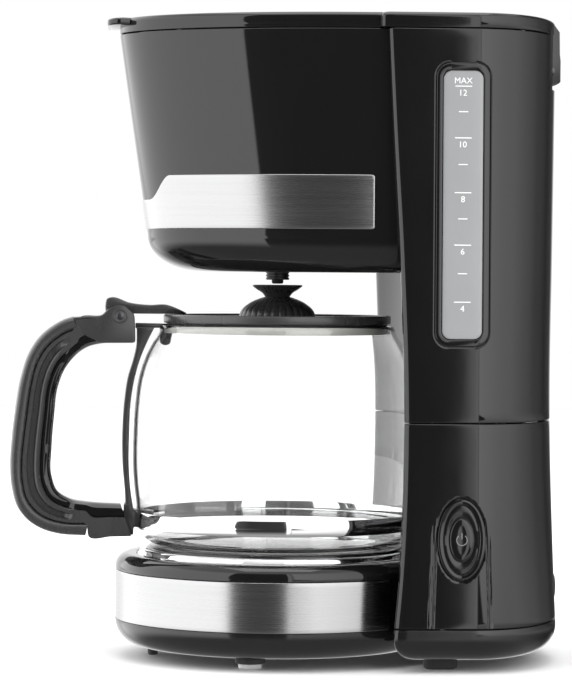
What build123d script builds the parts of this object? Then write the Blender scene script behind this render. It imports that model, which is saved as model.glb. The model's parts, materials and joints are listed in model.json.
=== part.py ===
from build123d import *
from math import atan2, cos, radians, sin, sqrt
import os

os.makedirs("parts", exist_ok=True)

# Drip coffee maker, millimetres. +Z is up, the jug and its handle face -Y, the switch side faces +X.
# The origin is on the floor below the middle of the whole machine.

# ---- driving dimensions ----
jug_y = -4.0              # the axis shared by the round base, the jug and the filter
wall = 2.5                # moulded casing thickness
gap = 0.2                 # half of the joint line between two casings

foot_height = 6.0
tray_top = 22.0           # joint line between the base tray and the lower housing
puck_radius = 82.5
puck_top = 53.0
band_low, band_high = 19.6, 45.0
band_end_y = jug_y + 47.0
band_thickness = 1.2
mid_seam = 123.5          # joint line between the lower and upper housings
top_seam = 318.5          # joint line below the top lid
lid_top = 326.3
tank_floor = 127.0

# the tower's plan: half width, front corner and back, which change with height
tower_heights = [6.0, 22.0, 123.5, 318.5]
tower_halves = [83.0, 83.0, 80.0, 76.0]
tower_corners = [jug_y + 51.0, jug_y + 53.0, jug_y + 56.3, jug_y + 47.0]
tower_backs = [jug_y + 145.0, jug_y + 144.5, jug_y + 140.7, jug_y + 142.0]
tower_middle = jug_y + 79.0       # the deepest line of the hollow front wall
back_centre = jug_y + 95.0        # centre of the half ellipse that is the tower's back
corner_radius = 4.0

# the filter housing's plan: a half ellipse about the tower's front corner line
bowl_centre = jug_y + 48.0
bowl_low, bowl_bend = 197.5, 216.0
bowl_wall = 2.2
bowl_depths = [115.0, 130.0]      # forward semi-axis at the bend and at the top seam
bowl_halves = [69.0, 72.0]        # sideways semi-axis there
bowl_round_front, bowl_round_side = 28.0, 12.0
trim_low, trim_high, trim_front = 219.0, 246.0, 234.0

# hinge of the top lid
hinge_y, hinge_z = jug_y + 136.3, 300.5
pin_radius = 2.0
knuckle_radius = 7.5
niche_half = 34.0

# side panel features on the +X side
panel_y = jug_y + 87.5
window_z = 231.3
window_width, window_height = 20.4, 133.0
surround_width, surround_height = 27.0, 140.0
switch_z = 66.5

# jug
plate_top = 57.0
glass_low = 57.3
glass_top = 169.4
glass_wall = 2.0
strap_low, strap_high = 66.5, 74.5
lid_ring_radius = 58.5
knob_top = 191.0
handle_half = 11.0


def blend(value, knots, levels):
    """Straight-line value between the heights in knots."""
    for (low, high), (first, last) in zip(zip(knots, knots[1:]), zip(levels, levels[1:])):
        if value <= high:
            return first + (last - first) * (value - low) / (high - low)
    return levels[-1]


def save(piece, name):
    piece.part.label = name
    export_step(piece.part, f"parts/{name}.step")


def tower_plan(z, inset=0.0):
    """Straight sides, a half-elliptical back and a hollow front that leaves room for the jug."""
    half = blend(z, tower_heights, tower_halves) - inset
    corner = blend(z, tower_heights, tower_corners) + inset
    depth = blend(z, tower_heights, tower_backs) - inset - back_centre
    with BuildSketch(Plane.XY.offset(z)) as plan:
        with BuildLine():
            EllipticalCenterArc((0, back_centre), half, depth, start_angle=0, arc_size=180)
            Line((-half, back_centre), (-half, corner))
            ThreePointArc((-half, corner), (0, tower_middle + inset), (half, corner))
            Line((half, corner), (half, back_centre))
        make_face()
        fillet(plan.vertices().group_by(Axis.Y)[0], radius=corner_radius)
    return plan.sketch


def tower_solid(levels, inset=0.0, insets=None):
    """The tower's plan carried through the given heights."""
    insets = insets or [inset] * len(levels)
    with BuildPart() as solid:
        loft([tower_plan(z, step) for z, step in zip(levels, insets)], ruled=True)
    return solid.part


def bowl_plan(z, inset=0.0):
    """Half ellipse towards the front, run back into the tower; its foot rolls under to a flat."""
    depth = blend(max(z, bowl_bend), [bowl_bend, top_seam], bowl_depths)
    half = blend(max(z, bowl_bend), [bowl_bend, top_seam], bowl_halves)
    if z < bowl_bend:
        roll = 1 - sqrt(max(0.0, 1 - ((bowl_bend - z) / (bowl_bend - bowl_low)) ** 2))
        depth, half = depth - bowl_round_front * roll, half - bowl_round_side * roll
    depth, half = depth - inset, half - inset
    rear = tower_middle + 4.0
    with BuildSketch(Plane.XY.offset(z)) as plan:
        with BuildLine():
            EllipticalCenterArc((0, bowl_centre), half, depth, start_angle=180, arc_size=180)
            Polyline((half, bowl_centre), (half, rear), (-half, rear), (-half, bowl_centre))
        make_face()
    return plan.sketch


def bowl_solid(low, high, inset=0.0):
    """The filter housing's outer form between two heights; a low end under the bend is rolled."""
    levels = [low, high]
    if low < bowl_bend:
        reach = bowl_bend - low
        levels = [bowl_bend - reach * sin(radians(a)) for a in (90, 67, 45, 22, 0)] + [high]
    with BuildPart() as solid:
        loft([bowl_plan(z, inset) for z in levels], ruled=True)
    return solid.part


def side_plane(z):
    """A plane on the tower's +X side, square to its slope, at the panel's middle line."""
    half = blend(z, tower_heights, tower_halves)
    slope = (blend(z - 1, tower_heights, tower_halves) - blend(z + 1, tower_heights, tower_halves)) / 2
    tilt = atan2(slope, 1)
    return Plane(origin=(half, panel_y, z), x_dir=(0, 1, 0), z_dir=(cos(tilt), 0, sin(tilt)))


def round_tube(path, outer, inner=0.0):
    """A tube, or a rod, along a path of straight runs and tangent arcs."""
    with BuildPart() as solid:
        with BuildSketch(Plane(origin=path @ 0, z_dir=path % 0)):
            Circle(outer)
            if inner:
                Circle(inner, mode=Mode.SUBTRACT)
        sweep(path=path)
    return solid.part


# ---- casings ----
with BuildPart() as base_tray:
    with BuildSketch(Plane.XY.offset(foot_height)):
        with Locations((0, jug_y)):
            Circle(puck_radius)
    extrude(amount=band_low - foot_height)
    fillet(base_tray.faces().sort_by(Axis.Z)[0].edges(), radius=11)
    add(tower_solid([foot_height, 11.0, 16.0, tray_top - gap], insets=[10.0, 3.4, 0.8, 0.0]))
    with BuildSketch(Plane.XY.offset(foot_height + wall)):
        with Locations((0, jug_y)):
            Circle(puck_radius - 8)
    extrude(amount=20, mode=Mode.SUBTRACT)
    with BuildSketch(Plane.XY.offset(band_low - 6)):
        with Locations((0, jug_y)):
            Circle(puck_radius - wall)
    extrude(amount=20, mode=Mode.SUBTRACT)
    with BuildSketch(Plane.XY.offset(band_low)):
        with Locations((0, jug_y)):
            Circle(puck_radius + gap)
    extrude(amount=10, mode=Mode.SUBTRACT)
    add(tower_solid([foot_height + wall, 12.0, 17.0, 23.0], insets=[12.0, 6.0, 3.4, 2.5]),
        mode=Mode.SUBTRACT)
    # seats for the feet, holes for the four casing screws and the air slots below the heater
    screw_places = [(-48, jug_y - 45), (48, jug_y - 45), (-52, jug_y + 104), (52, jug_y + 104)]
    with BuildSketch(Plane.XY.offset(foot_height)):
        with Locations(*screw_places):
            Circle(2.2)
    extrude(amount=wall, mode=Mode.SUBTRACT)
    with BuildSketch(Plane.XY.offset(foot_height)):
        with Locations((0, jug_y)):
            with PolarLocations(34, 12):
                SlotOverall(22, 4)
    extrude(amount=wall, mode=Mode.SUBTRACT)
save(base_tray, "base_tray")

front_feet_places = [(-58, jug_y - 15), (58, jug_y - 15)]
with BuildPart() as foot_cups:
    with BuildSketch(Plane.XY.offset(2.5)):
        with Locations(*front_feet_places):
            Circle(7.5)
    extrude(amount=foot_height - 2.5)
save(foot_cups, "foot_cups")

with BuildPart() as foot_pads:
    with BuildSketch(Plane.XY):
        with Locations(*front_feet_places):
            Circle(6.0)
    extrude(amount=2.5)
    chamfer(foot_pads.faces().group_by(Axis.Z)[0].edges(), length=0.6)
save(foot_pads, "foot_pads")

with BuildPart() as front_nub:
    with BuildSketch(Plane.XY):
        with Locations((0, jug_y - 63)):
            Circle(2.6)
    extrude(amount=foot_height)
    chamfer(front_nub.faces().sort_by(Axis.Z)[0].edges(), length=0.5)
save(front_nub, "front_nub")

with BuildPart() as rear_feet:
    with BuildSketch(Plane.XY):
        with Locations((-58, jug_y + 80), (58, jug_y + 80)):
            SlotOverall(17, 11, rotation=90)
    extrude(amount=foot_height)
    fillet(rear_feet.faces().group_by(Axis.Z)[0].edges(), radius=1.5)
save(rear_feet, "rear_feet")

with BuildPart() as tray_screws:
    with BuildSketch(Plane.XY.offset(foot_height + wall)):
        with Locations(*screw_places):
            Circle(3.8)
    extrude(amount=2.2)
    with BuildSketch(Plane.XY.offset(foot_height + wall)):
        with Locations(*screw_places):
            Circle(1.0)
    extrude(amount=1.2, mode=Mode.SUBTRACT)
    with BuildSketch(Plane.XY.offset(foot_height + wall + 2.2)):
        with Locations(*screw_places):
            Circle(1.8)
    extrude(amount=9)
save(tray_screws, "tray_screws")

plate_opening = 71.5
shoulder_radius = 6.5
groove = 0.4
# passage for the water tubes and leads, from the round base into the tower
with BuildPart() as rear_passage:
    with BuildSketch(Plane.XY.offset(26.0)):
        with Locations((0, jug_y + 74)):
            Rectangle(96, 36)
    extrude(amount=24.0)

with BuildPart() as base_cover:
    with BuildSketch(Plane.XY.offset(band_low + gap)):
        with Locations((0, jug_y)):
            Circle(puck_radius - band_thickness)
    extrude(amount=band_high - band_low - gap)
    with BuildSketch(Plane.XY.offset(band_high)):
        with Locations((0, jug_y)):
            Circle(puck_radius)
    extrude(amount=puck_top - band_high)
    fillet(base_cover.faces().sort_by(Axis.Z)[-1].edges(), radius=shoulder_radius)
    with BuildSketch(Plane.XY.offset(band_low)):
        with Locations((0, jug_y)):
            Circle(puck_radius - band_thickness - wall)
    extrude(amount=puck_top - band_low - wall, mode=Mode.SUBTRACT)
    with BuildSketch(Plane.XY.offset(puck_top - wall)):
        with Locations((0, jug_y)):
            Circle(plate_opening)
    extrude(amount=wall, mode=Mode.SUBTRACT)
    add(rear_passage.part, mode=Mode.SUBTRACT)
    # the tower stands behind an upright cut with a narrow groove
    with BuildSketch(Plane.XY.offset(tray_top - 4)):
        add(tower_plan(tray_top, inset=-groove).moved(Location((0, 0, -tray_top))))
    extrude(amount=40, mode=Mode.SUBTRACT)
save(base_cover, "base_cover")

inlet_z = 36.0
with BuildPart() as lower_housing:
    add(tower_solid([tray_top + gap, mid_seam - gap]))
    add(tower_solid([tray_top, mid_seam], inset=wall), mode=Mode.SUBTRACT)
    add(rear_passage.part, mode=Mode.SUBTRACT)
    # seat of the switch bezel
    with BuildSketch(side_plane(switch_z)):
        Ellipse(10.0, 18.0)
    extrude(amount=8, both=True, mode=Mode.SUBTRACT)
    # cord inlet in the back wall
    with BuildSketch(Plane(origin=(0, jug_y + 130, inlet_z), x_dir=(1, 0, 0), z_dir=(0, 1, 0))):
        Circle(6.0)
    extrude(amount=25, mode=Mode.SUBTRACT)
save(lower_housing, "lower_housing")

with BuildPart() as cord_gland:
    with BuildSketch(Plane(origin=(0, jug_y + 132, inlet_z), x_dir=(1, 0, 0), z_dir=(0, 1, 0))):
        Circle(8.5)
    extrude(amount=4)
    with BuildSketch(Plane(origin=(0, jug_y + 136, inlet_z), x_dir=(1, 0, 0), z_dir=(0, 1, 0))):
        Circle(5.9)
    extrude(amount=8.7)
    with BuildSketch(Plane(origin=(0, jug_y + 132, inlet_z), x_dir=(1, 0, 0), z_dir=(0, 1, 0))):
        Circle(3.4)
    extrude(amount=12.7, mode=Mode.SUBTRACT)
save(cord_gland, "cord_gland")

with BuildPart() as base_trim_band:
    with BuildSketch(Plane.XY.offset(band_low + gap)):
        with Locations((0, jug_y)):
            Circle(puck_radius)
            Circle(puck_radius - band_thickness, mode=Mode.SUBTRACT)
        with Locations((0, band_end_y + 50)):
            Rectangle(200, 100, mode=Mode.SUBTRACT)
    extrude(amount=band_high - band_low - 2 * gap)
save(base_trim_band, "base_trim_band")

tank_floor_top = tank_floor + wall
with BuildPart() as niche_block:
    with BuildSketch(Plane.XY.offset(hinge_z - 12)):
        with Locations((0, hinge_y - 2.0)):
            Rectangle(2 * (niche_half + wall), 2 * (10.0 + wall))
    extrude(amount=top_seam - gap - hinge_z + 12)
    add(tower_solid([mid_seam + gap, top_seam - gap]), mode=Mode.INTERSECT)

with BuildPart() as upper_housing:
    add(tower_solid([mid_seam + gap, top_seam - gap]))
    add(tower_solid([mid_seam, tank_floor], inset=wall), mode=Mode.SUBTRACT)
    add(tower_solid([tank_floor_top, top_seam], inset=wall), mode=Mode.SUBTRACT)
    # boxed niche for the lid's hinge, open upwards and to the back
    add(niche_block.part)
    with BuildSketch(Plane.XY.offset(hinge_z - 9.5)):
        with Locations((0, hinge_y + 8)):
            Rectangle(2 * niche_half, 36)
    extrude(amount=40, mode=Mode.SUBTRACT)
    # middle ear and the pin's bore through it and both niche sides
    with BuildSketch(Plane.YZ.offset(-14.5)):
        with Locations((hinge_y, hinge_z)):
            Circle(5.5)
        with Locations((hinge_y - 4, hinge_z - 4)):
            Rectangle(8, 11)
    extrude(amount=29)
    with BuildSketch(Plane.YZ.offset(-niche_half - 1.5)):
        with Locations((hinge_y, hinge_z)):
            Circle(pin_radius)
    extrude(amount=2 * niche_half + 3, mode=Mode.SUBTRACT)
    # window opening, tank outlet and the riser's bore
    with BuildSketch(side_plane(window_z)):
        RectangleRounded(surround_width, surround_height, 7)
    extrude(amount=8, both=True, mode=Mode.SUBTRACT)
    with BuildSketch(Plane.XY.offset(tank_floor)):
        with Locations((-33, jug_y + 108)):
            Circle(3.5)
        with Locations((33, jug_y + 108)):
            Circle(5.5)
    extrude(amount=wall, mode=Mode.SUBTRACT)
save(upper_housing, "upper_housing")

with BuildPart() as hinge_pin:
    with BuildSketch(Plane.YZ.offset(-niche_half - 1.5)):
        with Locations((hinge_y, hinge_z)):
            Circle(pin_radius)
    extrude(amount=2 * niche_half + 3)
save(hinge_pin, "hinge_pin")

with BuildPart() as window_surround:
    with BuildSketch(side_plane(window_z).offset(-wall)):
        RectangleRounded(surround_width, surround_height, 7)
        RectangleRounded(window_width, window_height, 4.5, mode=Mode.SUBTRACT)
    extrude(amount=wall + 0.4)
save(window_surround, "window_surround")

with BuildPart() as level_window:
    with BuildSketch(side_plane(window_z).offset(-wall)):
        RectangleRounded(window_width, window_height, 4.5)
    extrude(amount=wall + 0.7)
save(level_window, "level_window")

with BuildPart() as filter_cavity:
    add(bowl_solid(bowl_low + bowl_wall, top_seam, inset=bowl_wall))
    add(tower_solid([180.0, top_seam], inset=-bowl_wall), mode=Mode.SUBTRACT)

with BuildPart() as filter_housing:
    add(bowl_solid(bowl_low, top_seam - gap))
    add(tower_solid([180.0, top_seam]), mode=Mode.SUBTRACT)
    add(filter_cavity.part, mode=Mode.SUBTRACT)
    # hole for the basket's spout
    with BuildSketch(Plane.XY.offset(bowl_low)):
        with Locations((0, jug_y)):
            Circle(6.5)
    extrude(amount=bowl_wall, mode=Mode.SUBTRACT)
save(filter_housing, "filter_housing")

# brushed band round the filter housing: lower across the front, where the housing dips as a tongue
band_proud = 0.8
with BuildPart() as housing_trim_band:
    add(bowl_solid(trim_low, trim_high, inset=-band_proud))
    add(bowl_solid(trim_low - 1, trim_high + 1), mode=Mode.SUBTRACT)
    with BuildSketch(Plane.XZ.offset(-jug_y + 20)):
        with BuildLine():
            Line((-33, trim_front), (33, trim_front))
            Spline((33, trim_front), (38, 240), (43, trim_high + 1), tangents=[(1, 0.3), (1, 1)])
            Line((43, trim_high + 1), (-43, trim_high + 1))
            Spline((-43, trim_high + 1), (-38, 240), (-33, trim_front), tangents=[(1, -1), (1, -0.3)])
        make_face()
    extrude(amount=90, mode=Mode.SUBTRACT)
    with BuildSketch(Plane.XY.offset(trim_low)):
        with Locations((0, jug_y + 44 + 30)):
            Rectangle(200, 60)
    extrude(amount=40, mode=Mode.SUBTRACT)
save(housing_trim_band, "housing_trim_band")

# ---- switch ----
bezel_plane = side_plane(switch_z)
button_travel = 3.0
with BuildPart() as switch_bezel:
    with BuildSketch(bezel_plane):
        Ellipse(11.9, 20.0)
    extrude(amount=1.2)
    with BuildSketch(bezel_plane):
        Ellipse(9.9, 17.9)
    extrude(amount=-3.0)
    with BuildSketch(bezel_plane.offset(-0.6)):
        Ellipse(8.85, 17.0)
    extrude(amount=4, mode=Mode.SUBTRACT)
    with BuildSketch(bezel_plane.offset(-5)):
        Ellipse(6.1, 10.7)
    extrude(amount=10, mode=Mode.SUBTRACT)
save(switch_bezel, "switch_bezel")

with BuildPart() as power_button:
    with BuildSketch(bezel_plane.offset(-7.0)):
        Ellipse(5.9, 10.5)
    extrude(amount=8.2)
    fillet(power_button.edges().sort_by(Axis.X)[-1], radius=0.8)
    with BuildSketch(bezel_plane.offset(-7.0)):
        Ellipse(7.4, 12.2)
    extrude(amount=2.5)
save(power_button, "power_button")

with BuildPart() as switch_body:
    with BuildSketch(bezel_plane.offset(-28.0)):
        Rectangle(15, 25)
    extrude(amount=17.5)
    with BuildSketch(bezel_plane.offset(-34.0)):
        with Locations((-4, 0), (4, 0)):
            Rectangle(1.0, 5)
    extrude(amount=6)
save(switch_body, "switch_body")

with BuildPart() as switch_bracket:
    with BuildSketch(bezel_plane.offset(-26.0)):
        Rectangle(22, 44)
        Rectangle(15, 25, mode=Mode.SUBTRACT)
    extrude(amount=2.5)
    with BuildSketch(bezel_plane.offset(-23.5)):
        with Locations((0, 20.5), (0, -20.5)):
            Rectangle(22, 3)
    extrude(amount=23.5 - wall - 0.6)
save(switch_bracket, "switch_bracket")

# ---- heater and water path ----
plate_radius = 66.0
with BuildPart() as warming_plate:
    with BuildSketch(Plane.XY.offset(plate_top - 2.0)):
        with Locations((0, jug_y)):
            Circle(plate_radius)
    extrude(amount=2.0)
    with BuildSketch(Plane.XY.offset(plate_top - 4.0)):
        with Locations((0, jug_y)):
            Circle(plate_radius)
            Circle(plate_radius - 1.5, mode=Mode.SUBTRACT)
    extrude(amount=2.0)
    fillet(warming_plate.faces().sort_by(Axis.Z)[-1].edges(), radius=1.2)
save(warming_plate, "warming_plate")

with BuildPart() as plate_ring:
    with BuildSketch(Plane.XY.offset(49.0)):
        with Locations((0, jug_y)):
            Circle(plate_opening - 0.1)
            Circle(plate_radius + 0.1, mode=Mode.SUBTRACT)
    extrude(amount=6.5)
    fillet(plate_ring.faces().sort_by(Axis.Z)[-1].edges(), radius=2.0)
save(plate_ring, "plate_ring")

tube_z = 43.0
leg_x = 33.0
with BuildPart() as heater_casting:
    with BuildSketch(Plane.XY.offset(tube_z + 6)):
        with Locations((0, jug_y)):
            Circle(57)
            Circle(16, mode=Mode.SUBTRACT)
    extrude(amount=plate_top - 2.0 - tube_z - 6)
save(heater_casting, "heater_casting")


def horseshoe(radius, rear, height):
    """Two legs from the rear joined by a half circle round the front of the plate."""
    with BuildLine(Plane.XY.offset(height)) as path:
        Line((-radius, rear), (-radius, jug_y))
        ThreePointArc((-radius, jug_y), (0, jug_y - radius), (radius, jug_y))
        Line((radius, jug_y), (radius, rear))
    return path.wire()


with BuildPart() as water_tube:
    add(round_tube(horseshoe(leg_x, jug_y + 88, tube_z), 5.5, 4.0))
save(water_tube, "water_tube")

with BuildPart() as heating_element:
    add(round_tube(horseshoe(leg_x + 12.5, jug_y + 56, tube_z), 4.5))
save(heating_element, "heating_element")

with BuildPart() as heater_strap:
    with BuildSketch(Plane.XY.offset(tube_z - 7.5)):
        with Locations((0, jug_y)):
            Rectangle(110, 14)
    extrude(amount=1.6)
    with BuildSketch(Plane.XY.offset(tube_z - 7.5)):
        with Locations((0, jug_y)):
            Circle(2.2)
    extrude(amount=1.6, mode=Mode.SUBTRACT)
save(heater_strap, "heater_strap")

with BuildPart() as heater_screw:
    with BuildSketch(Plane.XY.offset(tube_z - 10.3)):
        with Locations((0, jug_y)):
            Circle(4.5)
    extrude(amount=2.8)
    with BuildSketch(Plane.XY.offset(tube_z - 7.5)):
        with Locations((0, jug_y)):
            Circle(2.0)
    extrude(amount=18.5)
save(heater_screw, "heater_screw")

with BuildPart() as thermostat:
    with BuildSketch(Plane.XY.offset(tube_z - 4)):
        with Locations((0, jug_y + 24)):
            Circle(7.5)
    extrude(amount=9.8)
    with BuildSketch(Plane.XY.offset(tube_z - 4)):
        with Locations((-4.5, jug_y + 24), (4.5, jug_y + 24)):
            Rectangle(1.0, 5)
    extrude(amount=-6)
save(thermostat, "thermostat")

with BuildPart() as thermal_fuses:
    with BuildSketch(Plane.XZ.offset(-jug_y - 33)):
        with Locations((-6, tube_z - 1), (6, tube_z - 1)):
            Circle(2.2)
    extrude(amount=-14)
save(thermal_fuses, "thermal_fuses")

hose_y = jug_y + 108
valve_low, valve_high = 92.0, 116.0
with BuildLine() as cold_route:
    FilletPolyline((-leg_x, jug_y + 84, tube_z), (-leg_x, hose_y, tube_z), (-leg_x, hose_y, valve_low + 5),
                   radius=15)
with BuildPart() as cold_hose:
    add(round_tube(cold_route.wire(), 7.6, 5.6))
save(cold_hose, "cold_hose")

with BuildLine() as hot_route:
    FilletPolyline((leg_x, jug_y + 84, tube_z), (leg_x, hose_y, tube_z), (leg_x, hose_y, 122), radius=15)
with BuildPart() as hot_hose:
    add(round_tube(hot_route.wire(), 7.6, 5.6))
save(hot_hose, "hot_hose")

ball_radius = 3.6
ball_travel = 2.0
ball_seat = 100.0
with BuildPart() as check_valve:
    with BuildSketch(Plane.XY.offset(valve_low)):
        with Locations((-leg_x, hose_y)):
            Circle(5.5)
    extrude(amount=valve_high - valve_low)
    with BuildSketch(Plane.XY.offset(valve_low + 6)):
        with Locations((-leg_x, hose_y)):
            Circle(7.5)
    extrude(amount=valve_high - valve_low - 8)
    with BuildSketch(Plane.XY.offset(valve_low)):
        with Locations((-leg_x, hose_y)):
            Circle(2.2)
    extrude(amount=valve_high - valve_low, mode=Mode.SUBTRACT)
    with BuildSketch(Plane.XY.offset(ball_seat - ball_radius - 0.3)):
        with Locations((-leg_x, hose_y)):
            Circle(ball_radius + 0.4)
    extrude(amount=2 * ball_radius + ball_travel + 0.6, mode=Mode.SUBTRACT)
save(check_valve, "check_valve")

with BuildPart() as valve_ball:
    with Locations((-leg_x, hose_y, ball_seat)):
        Sphere(ball_radius)
save(valve_ball, "valve_ball")

with BuildPart() as outlet_grommet:
    with BuildSketch(Plane.XY.offset(valve_high)):
        with Locations((-leg_x, hose_y)):
            Circle(7.0)
    extrude(amount=tank_floor - valve_high)
    with BuildSketch(Plane.XY.offset(tank_floor)):
        with Locations((-leg_x, hose_y)):
            Circle(3.5)
    extrude(amount=wall + 1.5)
    with BuildSketch(Plane.XY.offset(valve_high)):
        with Locations((-leg_x, hose_y)):
            Circle(2.2)
    extrude(amount=30, mode=Mode.SUBTRACT)
save(outlet_grommet, "outlet_grommet")

riser_low, riser_top = 108.0, 312.0
with BuildPart() as riser_tube:
    with BuildSketch(Plane.XY.offset(riser_low)):
        with Locations((leg_x, hose_y)):
            Circle(5.5)
            Circle(4.0, mode=Mode.SUBTRACT)
    extrude(amount=riser_top - riser_low)
save(riser_tube, "riser_tube")

with BuildPart() as outlet_seal:
    with BuildSketch(Plane.XY.offset(riser_top - 8)):
        with Locations((leg_x, hose_y)):
            Circle(8.0)
            Circle(5.5, mode=Mode.SUBTRACT)
    extrude(amount=8)
    with BuildSketch(Plane.XY.offset(riser_top)):
        with Locations((leg_x, hose_y)):
            Circle(8.0)
            Circle(4.0, mode=Mode.SUBTRACT)
    extrude(amount=top_seam - riser_top - 0.4)
save(outlet_seal, "outlet_seal")

# ---- mains wiring ----
with BuildPart() as terminal_block:
    with BuildSketch(Plane.XY.offset(tray_top - 11.5)):
        with Locations((0, jug_y + 108)):
            Rectangle(34, 16)
    extrude(amount=12)
    with BuildSketch(Plane.XY.offset(tray_top + 0.5)):
        with Locations((-10, jug_y + 108), (0, jug_y + 108), (10, jug_y + 108)):
            Circle(2.5)
    extrude(amount=-4, mode=Mode.SUBTRACT)
save(terminal_block, "terminal_block")

block_y = jug_y + 108
lead_routes = [
    [(-10, block_y, 18.5), (-10, block_y, 38), (-10, jug_y + 66, 38), (-10, jug_y + 44, 20),
     (-4.5, jug_y + 24, 20), (-4.5, jug_y + 24, tube_z - 10)],
    [(0, block_y, 18.5), (0, block_y, 50), (18, panel_y + 4, switch_z), (47.5, panel_y + 4, switch_z)],
    [(10, block_y, 18.5), (10, block_y, 29), (45.5, jug_y + 92, 29), (45.5, jug_y + 72, tube_z),
     (45.5, jug_y + 57, tube_z)],
]
with BuildPart() as lead_wires:
    for points in lead_routes:
        with BuildLine() as lead:
            FilletPolyline(*points, radius=5)
        add(round_tube(lead.wire(), 1.3))
save(lead_wires, "lead_wires")

# ---- top lid ----
with BuildPart() as top_lid:
    with BuildSketch(Plane.XY.offset(top_seam + gap)):
        add(tower_plan(top_seam).moved(Location((0, 0, -top_seam))))
        add(bowl_plan(top_seam).moved(Location((0, 0, -top_seam))))
    extrude(amount=lid_top - top_seam - gap)
    fillet(top_lid.faces().sort_by(Axis.Z)[-1].edges(), radius=2.5)
    add(tower_solid([top_seam, lid_top - 2.5], inset=wall), mode=Mode.SUBTRACT)
    with BuildSketch(Plane.XY.offset(top_seam)):
        add(bowl_plan(top_seam, inset=wall).moved(Location((0, 0, -top_seam))))
    extrude(amount=lid_top - 2.5 - top_seam, mode=Mode.SUBTRACT)
    # finger tab at the front
    with BuildSketch(Plane.XY.offset(lid_top - 4.2)):
        with Locations((0, jug_y - 78)):
            RectangleRounded(44, 20.8, 8)
    extrude(amount=4.0)
    # hinge arms down to the knuckles
    for side in (-1, 1):
        with BuildSketch(Plane.YZ.offset(side * 23.5 - 7.5)):
            with Locations((hinge_y, hinge_z)):
                Circle(knuckle_radius)
            with Locations((hinge_y - 0.9, (hinge_z + lid_top) / 2)):
                Rectangle(11.8, lid_top - hinge_z - 3)
        extrude(amount=15)
    with BuildSketch(Plane.YZ.offset(-niche_half)):
        with Locations((hinge_y, hinge_z)):
            Circle(pin_radius + 0.05)
    extrude(amount=2 * niche_half, mode=Mode.SUBTRACT)
save(top_lid, "top_lid")

duct_floor = top_seam + 0.4
with BuildPart() as lid_duct:
    with BuildSketch(Plane.XY.offset(duct_floor)):
        with BuildLine():
            Line((0, jug_y), (leg_x, hose_y))
        trace(line_width=20)
        with Locations((0, jug_y), (leg_x, hose_y)):
            Circle(10)
    extrude(amount=lid_top - 2.5 - duct_floor)
    with BuildSketch(Plane.XY.offset(duct_floor + 1.2)):
        with BuildLine():
            Line((0, jug_y), (leg_x, hose_y))
        trace(line_width=15)
        with Locations((0, jug_y), (leg_x, hose_y)):
            Circle(7.5)
    extrude(amount=2.4, mode=Mode.SUBTRACT)
    with BuildSketch(Plane.XY.offset(duct_floor)):
        with Locations((0, jug_y), (leg_x, hose_y)):
            Circle(3.5)
    extrude(amount=2, mode=Mode.SUBTRACT)
save(lid_duct, "lid_duct")

spray_radius = 33.0
spray_low, spray_high = 306.0, 311.0
with BuildPart() as spray_head:
    with BuildSketch(Plane.XY.offset(spray_low)):
        with Locations((0, jug_y)):
            Circle(spray_radius)
    extrude(amount=spray_high - spray_low)
    with BuildSketch(Plane.XY.offset(spray_high)):
        with Locations((0, jug_y)):
            Circle(8)
    extrude(amount=duct_floor - spray_high)
    with BuildSketch(Plane.XY.offset(spray_low + 1.5)):
        with Locations((0, jug_y)):
            Circle(spray_radius - 2)
    extrude(amount=2, mode=Mode.SUBTRACT)
    with BuildSketch(Plane.XY.offset(spray_low)):
        with Locations((0, jug_y)):
            with PolarLocations(22, 10):
                Circle(1.5)
            with PolarLocations(12, 6):
                Circle(1.5)
    extrude(amount=2, mode=Mode.SUBTRACT)
    with BuildSketch(Plane.XY.offset(spray_low + 2)):
        with Locations((0, jug_y)):
            Circle(3.5)
    extrude(amount=20, mode=Mode.SUBTRACT)
save(spray_head, "spray_head")

# ---- filter basket, with its spout through the housing's floor ----
basket_low, basket_high = 202.0, 298.0
spout_low, spout_radius, spout_bore = 193.6, 6.0, 4.4
chamber_top, chamber_radius = 226.0, 11.5


def cone(low_radius, high_radius, low, high):
    """A solid frustum about the jug's axis."""
    with BuildPart() as solid:
        with BuildSketch(Plane.XY.offset(low)):
            with Locations((0, jug_y)):
                Circle(low_radius)
        with BuildSketch(Plane.XY.offset(high)):
            with Locations((0, jug_y)):
                Circle(high_radius)
        loft()
    return solid.part


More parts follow.
